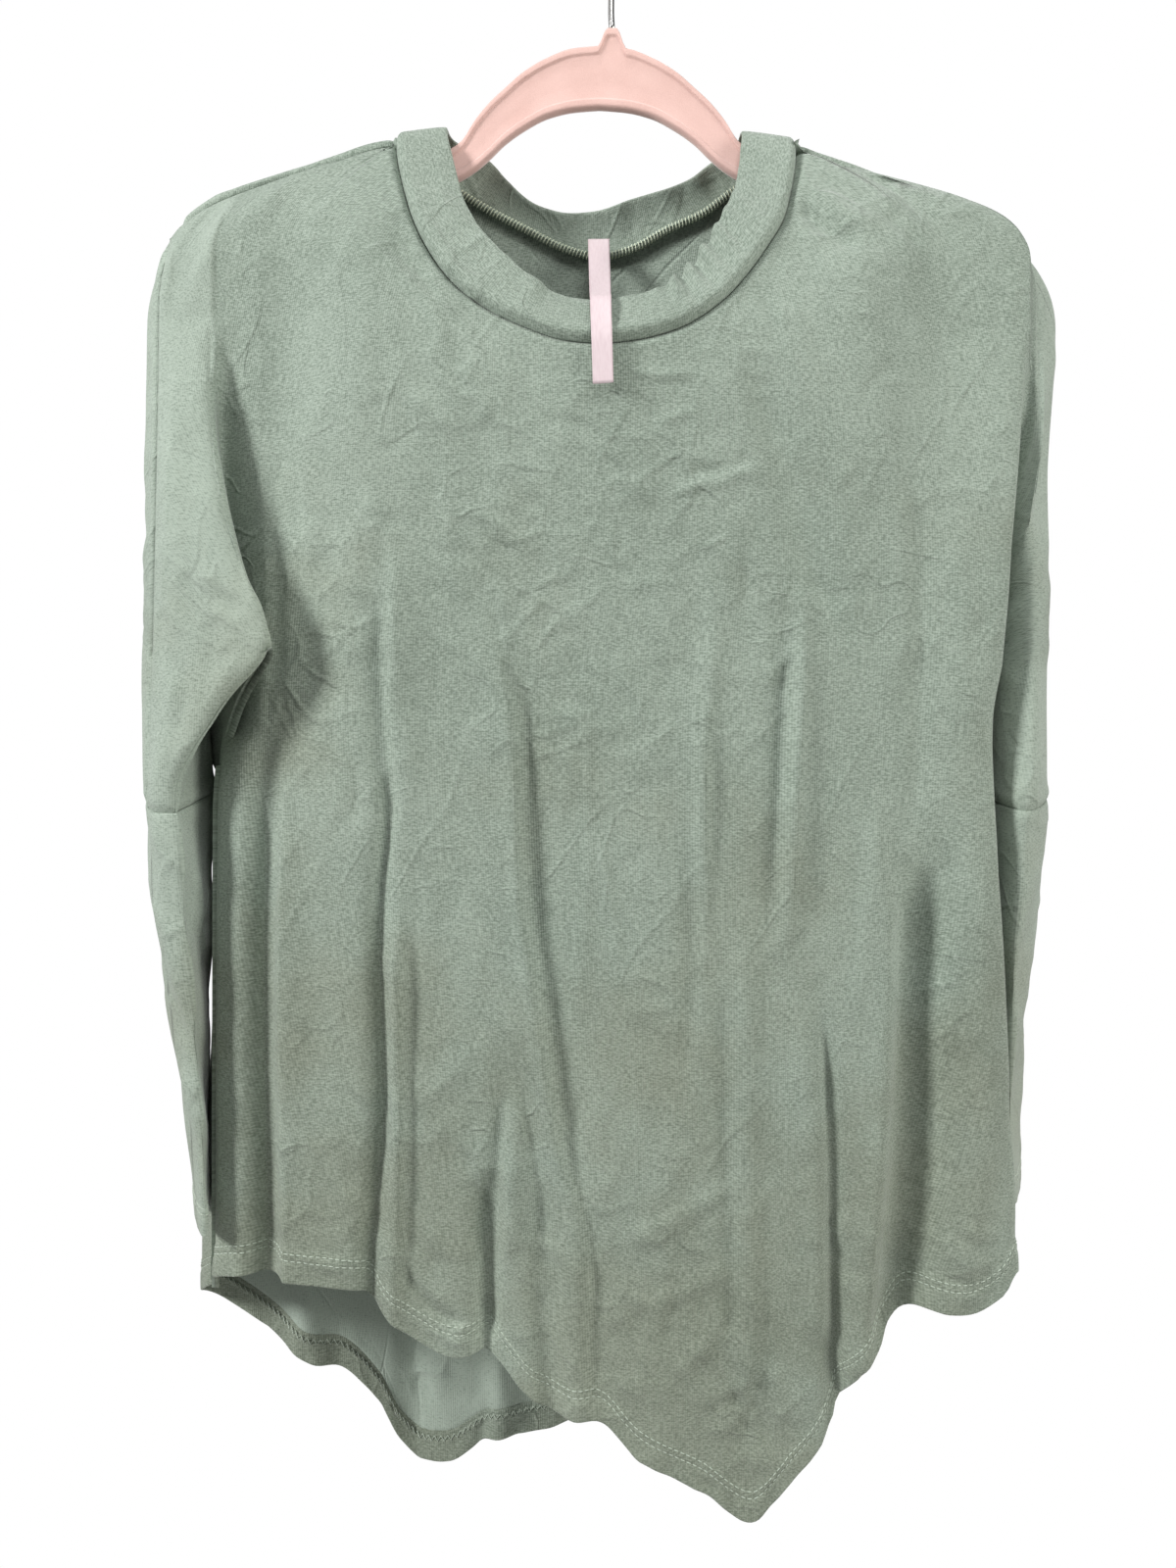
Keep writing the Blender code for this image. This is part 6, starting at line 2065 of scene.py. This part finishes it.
class Tree:
    """The nodes of one material."""

    def __init__(self, name: str) -> None:
        """Starts a material with its surface shader.

        Args:
            name: the material's name.
        """
        self.material = bpy.data.materials.new(name)
        self.material.use_nodes = True
        self.surface = self.material.node_tree.nodes["Principled BSDF"]

    def node(self, kind: str, settings: dict[str, object] | None = None,
             sockets: dict[str | int, object] | None = None) -> bpy.types.Node:
        """Adds a node.

        Args:
            kind: the node's type.
            settings: its properties, set first.
            sockets: a value or a link for each named or numbered input.

        Returns:
            The node.
        """
        made = self.material.node_tree.nodes.new(kind)
        for key, value in (settings or {}).items():
            setattr(made, key, value)
        for key, value in (sockets or {}).items():
            self.join(made.inputs[key], value)
        return made

    def join(self, socket: bpy.types.NodeSocket, value: object) -> None:
        """Links a value to a socket, or sets it there.

        Args:
            socket: the socket.
            value: a number, a colour, a Wire or another node's socket.
        """
        if isinstance(value, Wire):
            value = value.socket
        if isinstance(value, bpy.types.NodeSocket):
            self.material.node_tree.links.new(value, socket)
        else:
            socket.default_value = value

    def carried(self, name: str) -> Wire:
        """A number that the mesh carries on its points."""
        return Wire(self, self.node("ShaderNodeAttribute", {"attribute_name": name}).outputs["Fac"])

    def place(self) -> bpy.types.NodeSocket:
        """Position on the object, metres."""
        return self.node("ShaderNodeTexCoord").outputs["Object"]

    def vector(self, x: Wire | float, y: Wire | float, z: Wire | float = 0.0) -> bpy.types.NodeSocket:
        """A vector from three numbers."""
        return self.node("ShaderNodeCombineXYZ", None, {0: x, 1: y, 2: z}).outputs[0]

    def noise(self, at: bpy.types.NodeSocket, scale: float, detail: float = 2.0,
              roughness: float = 0.5) -> Wire:
        """Noise from 0 to 1.

        Args:
            at: where to read it.
            scale: its fineness.
            detail: how many finer layers it has.
            roughness: how strong they are.

        Returns:
            The noise.
        """
        made = self.node("ShaderNodeTexNoise", None,
                         {"Vector": at, "Scale": scale, "Detail": detail, "Roughness": roughness})
        return Wire(self, made.outputs["Fac"])

    def crease(self, at: bpy.types.NodeSocket, scale: float) -> Wire:
        """Thin sharp creases, 1 on their line and 0 beside it, that come and go along the cloth.

        Args:
            at: where to read it.
            scale: its fineness.

        Returns:
            The creases.
        """
        level = self.noise(at, scale, 1.2, 0.4) - 0.5
        line = 1.0 - level.math("ABSOLUTE", level).between(0.0, 0.036)
        return line * self.noise(at, scale * 0.55, 1.0).between(0.50, 0.66)

    def mix(self, share: Wire, first: object, second: object) -> bpy.types.NodeSocket:
        """A colour between two colours.

        Args:
            share: how much of the second there is.
            first: colour at 0.
            second: colour at 1.

        Returns:
            The mixed colour.
        """
        paint = [(*c, 1.0) if isinstance(c, tuple) else c for c in (first, second)]
        made = self.node("ShaderNodeMix", {"data_type": "RGBA"}, {0: share, 6: paint[0], 7: paint[1]})
        return made.outputs[2]

    def finish(self, colour: object, height: Wire | None, **settings: object) -> bpy.types.Material:
        """Sets the surface.

        Args:
            colour: base colour.
            height: relief in metres, or None.
            settings: other inputs of the surface, by name with _ for a space.

        Returns:
            The material.
        """
        self.join(self.surface.inputs["Base Color"], (*colour, 1.0) if isinstance(colour, tuple) else colour)
        for key, value in settings.items():
            self.join(self.surface.inputs[key.replace("_", " ")], value)
        if height is not None:
            bump = self.node("ShaderNodeBump", None, {"Height": height, "Distance": 1.0, "Strength": 1.0})
            self.join(self.surface.inputs["Normal"], bump.outputs["Normal"])
        return self.material


@dataclass(frozen=True)
class Jersey:
    """Heathered jersey knit: ribs and rows of loops, flecks, soft mottling and fine creases.

    Painted light makes the sleeves paler and the wrong side paler low down, where light reaches in under the
    front hem; painted shade makes the lower part darker and warmer towards the bottom, in uneven patches.
    """

    name: str = "heather_jersey"
    dark: Colour = (0.176, 0.218, 0.174)
    light: Colour = (0.396, 0.460, 0.390)
    # Painted shade colours: the darker, warmer tones of the lower part.
    warm_dark: Colour = (0.146, 0.168, 0.124)
    warm_light: Colour = (0.322, 0.355, 0.282)
    # Painted light: the sleeves are drawn paler, for the light that falls on them.
    sleeve_paler: float = 0.19
    # Painted light on the wrong side low down, where light reaches in under the front hem.
    wrong_side_paler: float = 0.30
    wale: float = 0.00125
    course: float = 0.00095
    loop_height: float = 0.00005
    crease_height: float = 0.0006
    facet_height: float = 0.0017
    line_height: float = 0.00040
    fleck_height: float = 0.00009
    mottle_height: float = 0.00012
    # Heights, as metres below zero, over which the wrong side's painted light fades in; the painted shade low
    # down is kept off it there.
    wrong_side_from: tuple[float, float] = (0.68, 0.72)

    def build(self) -> bpy.types.Material:
        """Makes the material.

        Returns:
            The material.
        """
        tree = Tree(self.name)
        across, down = tree.carried("across"), tree.carried("down")
        place = tree.place()
        ribs = (across * (2 * math.pi / self.wale)).sine()
        loops = (down * (2 * math.pi / self.course) + ribs * 0.9).sine()
        fleck = tree.noise(tree.vector(across * 0.42, down), 1150.0, 2.0, 0.6)
        streak = tree.noise(tree.vector(across * 0.30, down), 560.0, 2.0, 0.55)
        mottle = tree.noise(place, 120.0, 3.0, 0.6)
        patch = tree.noise(place, 11.0, 2.0, 0.5)
        # The wrong side seen low down gets painted light, standing in for light that comes in under the front
        # hem.
        wrong_side = Wire(tree, tree.node("ShaderNodeNewGeometry").outputs["Backfacing"])
        lower = (down * -1.0).between(*self.wrong_side_from)
        # The sleeve term adds painted light on the sleeves; the wrong-side term adds painted light low down
        # inside the back.
        tone = ((fleck - 0.5) * 1.50 + (streak - 0.5) * 0.30 + (mottle - 0.5) * 0.22 + (patch - 0.5) * 0.30
                + ribs * 0.06 + tree.carried("sleeve") * self.sleeve_paler
                + wrong_side * lower * self.wrong_side_paler + 0.5)
        share = tone.between(0.1, 0.9)
        # Painted shade: darker and warmer towards the bottom, in uneven patches, kept off the wrong side's
        # painted light low down.
        painted_low_shade = ((tree.noise(place, 9.0, 3.0, 0.6) - 0.5) * 2.6 - down * 1.9 - 0.66).between(0.0, 1.0)
        fresh = tree.mix(share, self.dark, self.light)
        shaded_colour = tree.mix(share, self.warm_dark, self.warm_light)
        colour = tree.mix(painted_low_shade * 0.85 * (1.0 - wrong_side * lower), fresh, shaded_colour)
        warp = tree.noise(place, 34.0, 1.0)
        warped = tree.node("ShaderNodeVectorMath", {"operation": "ADD"},
                           {0: place, 1: tree.vector(warp * 0.02, warp * 0.02, warp * 0.02)}).outputs[0]
        cells = tree.node("ShaderNodeTexVoronoi", {"feature": "DISTANCE_TO_EDGE"},
                          {"Vector": warped, "Scale": 42.0})
        ridge = 1.0 - Wire(tree, cells.outputs["Distance"]).between(0.0, 0.13)
        creased = tree.noise(place, 19.0, 2.0).between(0.47, 0.66)
        facets = tree.node("ShaderNodeTexVoronoi", None, {"Vector": warped, "Scale": 27.0})
        facet = Wire(tree, facets.outputs["Distance"])
        sharp = [tree.crease(tree.vector(across + down * 0.40, down * 0.36), 30.0),
                 tree.crease(tree.vector(across - down * 0.55, down * 0.42 + 3.0), 27.0),
                 tree.crease(tree.vector(across * 0.8 + down * 0.8, down * 0.7 - across * 0.5), 38.0)]
        height = (ribs * self.loop_height + loops * (0.5 * self.loop_height) + fleck * self.fleck_height
                  + ridge * creased * self.crease_height + facet * creased * self.facet_height
                  + mottle * self.mottle_height + (sharp[0] + sharp[1] + sharp[2]) * self.line_height)
        return tree.finish(colour, height, Roughness=0.88, Sheen_Weight=0.25, Sheen_Roughness=0.45,
                           Specular_IOR_Level=0.25)


@dataclass(frozen=True)
class Thread:
    """Twisted sewing thread."""

    name: str
    dark: Colour
    light: Colour

    def build(self) -> bpy.types.Material:
        """Makes the material.

        Returns:
            The material.
        """
        tree = Tree(self.name)
        strand = tree.noise(tree.place(), 1400.0, 2.0)
        return tree.finish(tree.mix(strand, self.dark, self.light), strand * 0.00006,
                           Roughness=0.6, Sheen_Weight=0.2)


@dataclass(frozen=True)
class Satin:
    """Woven satin ribbon."""

    name: str = "satin_ribbon"
    dark: Colour = (0.60, 0.45, 0.48)
    light: Colour = (0.80, 0.67, 0.69)

    def build(self) -> bpy.types.Material:
        """Makes the material.

        Returns:
            The material.
        """
        tree = Tree(self.name)
        across, down = tree.carried("across"), tree.carried("down")
        weft = (down * (2 * math.pi / 0.0005)).sine()
        grain = tree.noise(tree.vector(across, down * 0.2), 900.0, 2.0)
        selvedge = across.math("ABSOLUTE", across).between(0.0045, 0.0054)
        tone = grain * 0.6 + weft * 0.1 + selvedge * -0.25 + 0.35
        return tree.finish(tree.mix(tone.between(0.0, 1.0), self.dark, self.light),
                           weft * 0.00002 + grain * 0.00003, Roughness=0.36, Sheen_Weight=0.15)


@dataclass(frozen=True)
class Flock:
    """Short dense nap on a moulded hanger, rubbed a little paler in places."""

    name: str = "pink_flock"
    dark: Colour = (0.60, 0.36, 0.31)
    light: Colour = (0.80, 0.54, 0.485)

    def build(self) -> bpy.types.Material:
        """Makes the material.

        Returns:
            The material.
        """
        tree = Tree(self.name)
        place = tree.place()
        nap = tree.noise(place, 1500.0, 3.0, 0.7)
        brushed = tree.noise(place, 60.0, 3.0)
        tone = (nap - 0.5) * 0.6 + (brushed - 0.5) * 0.5 + 0.68
        return tree.finish(tree.mix(tone.between(0.0, 1.0), self.dark, self.light),
                           nap * 0.00018 + brushed * 0.0001,
                           Roughness=0.95, Sheen_Weight=0.6, Sheen_Roughness=0.4)


@dataclass(frozen=True)
class Steel:
    """Drawn steel wire with fine marks."""

    name: str = "drawn_steel"
    dark: Colour = (0.42, 0.41, 0.40)
    light: Colour = (0.66, 0.65, 0.63)

    def build(self) -> bpy.types.Material:
        """Makes the material.

        Returns:
            The material.
        """
        tree = Tree(self.name)
        place = tree.place()
        marks = tree.noise(place, 900.0, 4.0, 0.7)
        handled = tree.noise(place, 90.0, 2.0)
        return tree.finish(tree.mix(handled, self.dark, self.light), marks * 0.00002,
                           Roughness=handled * 0.14 + 0.18, Metallic=1.0)


# ================================================================ studio
class Lamp(NamedTuple):
    """A soft square lamp: where it stands, its side in metres, its power in watts and its colour."""

    name: str
    at: tuple[float, float, float]
    size: float
    power: float
    colour: Colour


@dataclass(frozen=True)
class Studio:
    """Pale floor, soft lamps in front of the garment and weaker ones behind it, and the camera."""

    lens: float = 27.05
    sensor: float = 36.0
    near: float = 0.01
    aim: tuple[float, float, float] = (0.0, 0.0, -0.40)
    floor_radius: float = 0.75
    floor_z: float = -1.45
    floor_sides: int = 96
    camera_at: tuple[float, float, float] = (-0.0062, -0.62, -0.4726)
    sky: float = 0.22
    lamps: tuple[Lamp, ...] = (
        Lamp("side", (-1.90, -1.00, 0.45), 0.45, 52.5, (0.99, 1.0, 1.0)),
        Lamp("front_top", (0.15, -0.75, 0.75), 0.60, 8.0, (0.98, 1.0, 1.0)),
        Lamp("right", (1.60, -0.80, -0.45), 0.80, 18.0, (1.0, 0.99, 0.95)),
        Lamp("back", (1.00, 1.90, 0.35), 0.60, 26.0, (0.99, 1.0, 1.0)),
        Lamp("back_fill", (-1.20, 1.60, -0.40), 0.80, 9.0, (1.0, 0.99, 0.97)),
    )

    def build(self) -> None:
        """Makes the world, the lamps, the floor and the camera."""
        scene = bpy.context.scene
        scene.view_settings.view_transform = "Standard"
        world = bpy.data.worlds.new("studio")
        scene.world = world
        world.use_nodes = True
        nodes, links = world.node_tree.nodes, world.node_tree.links
        nodes.clear()
        seen, lit = nodes.new("ShaderNodeBackground"), nodes.new("ShaderNodeBackground")
        seen.inputs["Strength"].default_value = 1.0
        lit.inputs["Strength"].default_value = self.sky
        for background in (seen, lit):
            background.inputs["Color"].default_value = (1.0, 1.0, 1.0, 1.0)
        kinds = ("ShaderNodeLightPath", "ShaderNodeMixShader", "ShaderNodeOutputWorld")
        ray, mixed, out = [nodes.new(kind) for kind in kinds]
        links.new(ray.outputs["Is Camera Ray"], mixed.inputs[0])
        links.new(lit.outputs[0], mixed.inputs[1])
        links.new(seen.outputs[0], mixed.inputs[2])
        links.new(mixed.outputs[0], out.inputs[0])
        for lamp in self.lamps:
            self.light(lamp)
        self.floor()
        camera = bpy.data.objects.new("camera", bpy.data.cameras.new("camera"))
        camera.data.lens = self.lens
        camera.data.sensor_width = self.sensor
        camera.data.clip_start = self.near
        camera.location = self.camera_at
        camera.rotation_euler = (math.pi / 2, 0.0, 0.0)
        scene.collection.objects.link(camera)
        scene.camera = camera

    def light(self, lamp: Lamp) -> None:
        """Puts a lamp in the scene, turned towards the garment's upper half.

        Args:
            lamp: the lamp.
        """
        data = bpy.data.lights.new(lamp.name, "AREA")
        data.size, data.energy, data.color = lamp.size, lamp.power, lamp.colour
        obj = bpy.data.objects.new(lamp.name, data)
        obj.location = lamp.at
        aim = mathutils.Vector(self.aim) - mathutils.Vector(lamp.at)
        obj.rotation_euler = aim.to_track_quat("-Z", "Y").to_euler()
        bpy.context.scene.collection.objects.link(obj)

    def floor(self) -> None:
        """A round pale floor under the garment."""
        turn = 2 * np.pi * np.arange(self.floor_sides) / self.floor_sides
        rim = np.stack([self.floor_radius * np.cos(turn), self.floor_radius * np.sin(turn),
                        np.full(self.floor_sides, self.floor_z)], axis=-1)
        mesh = mesh_from("floor", rim, [list(range(self.floor_sides))])
        tree = Tree("pale_floor")
        grain = tree.noise(tree.place(), 40.0, 3.0)
        paint = tree.mix(grain, (0.80, 0.80, 0.79), (0.84, 0.84, 0.83))
        mesh.materials.append(tree.finish(paint, None, Roughness=0.9))
        obj = bpy.data.objects.new("floor", mesh)
        bpy.context.scene.collection.objects.link(obj)


# ================================================================ build
def main() -> None:
    """Builds and dresses the garment, its hanger and the studio."""
    logging.basicConfig(level=logging.INFO, format="%(name)s %(message)s")
    jersey = Jersey().build()
    sewing = Thread("sewing_thread", (0.38, 0.44, 0.36), (0.58, 0.65, 0.55)).build()
    overlocking = Thread("overlock_thread", (0.58, 0.66, 0.46), (0.88, 0.92, 0.74)).build()
    Studio().build()
    Hanger(Flock().build()).dress()
    Hook(Steel().build()).dress()
    panels = [Panel(True, jersey, sewing), Panel(False, jersey, sewing)]
    front, back = [panel.build() for panel in panels]
    for panel in panels:
        panel.dress()
    for side in (LEFT, RIGHT):
        sleeve = LowerSleeve(side, jersey, sewing)
        sleeve.build(front[side], back[side])
        sleeve.dress()
    band = NeckBand(jersey)
    band.build()
    band.dress()
    Overlock(jersey, overlocking).dress()
    ribbon = NeckRibbon(Satin().build(), sewing)
    ribbon.build()
    ribbon.dress()


if __name__ == "__main__":
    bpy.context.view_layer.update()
    main()
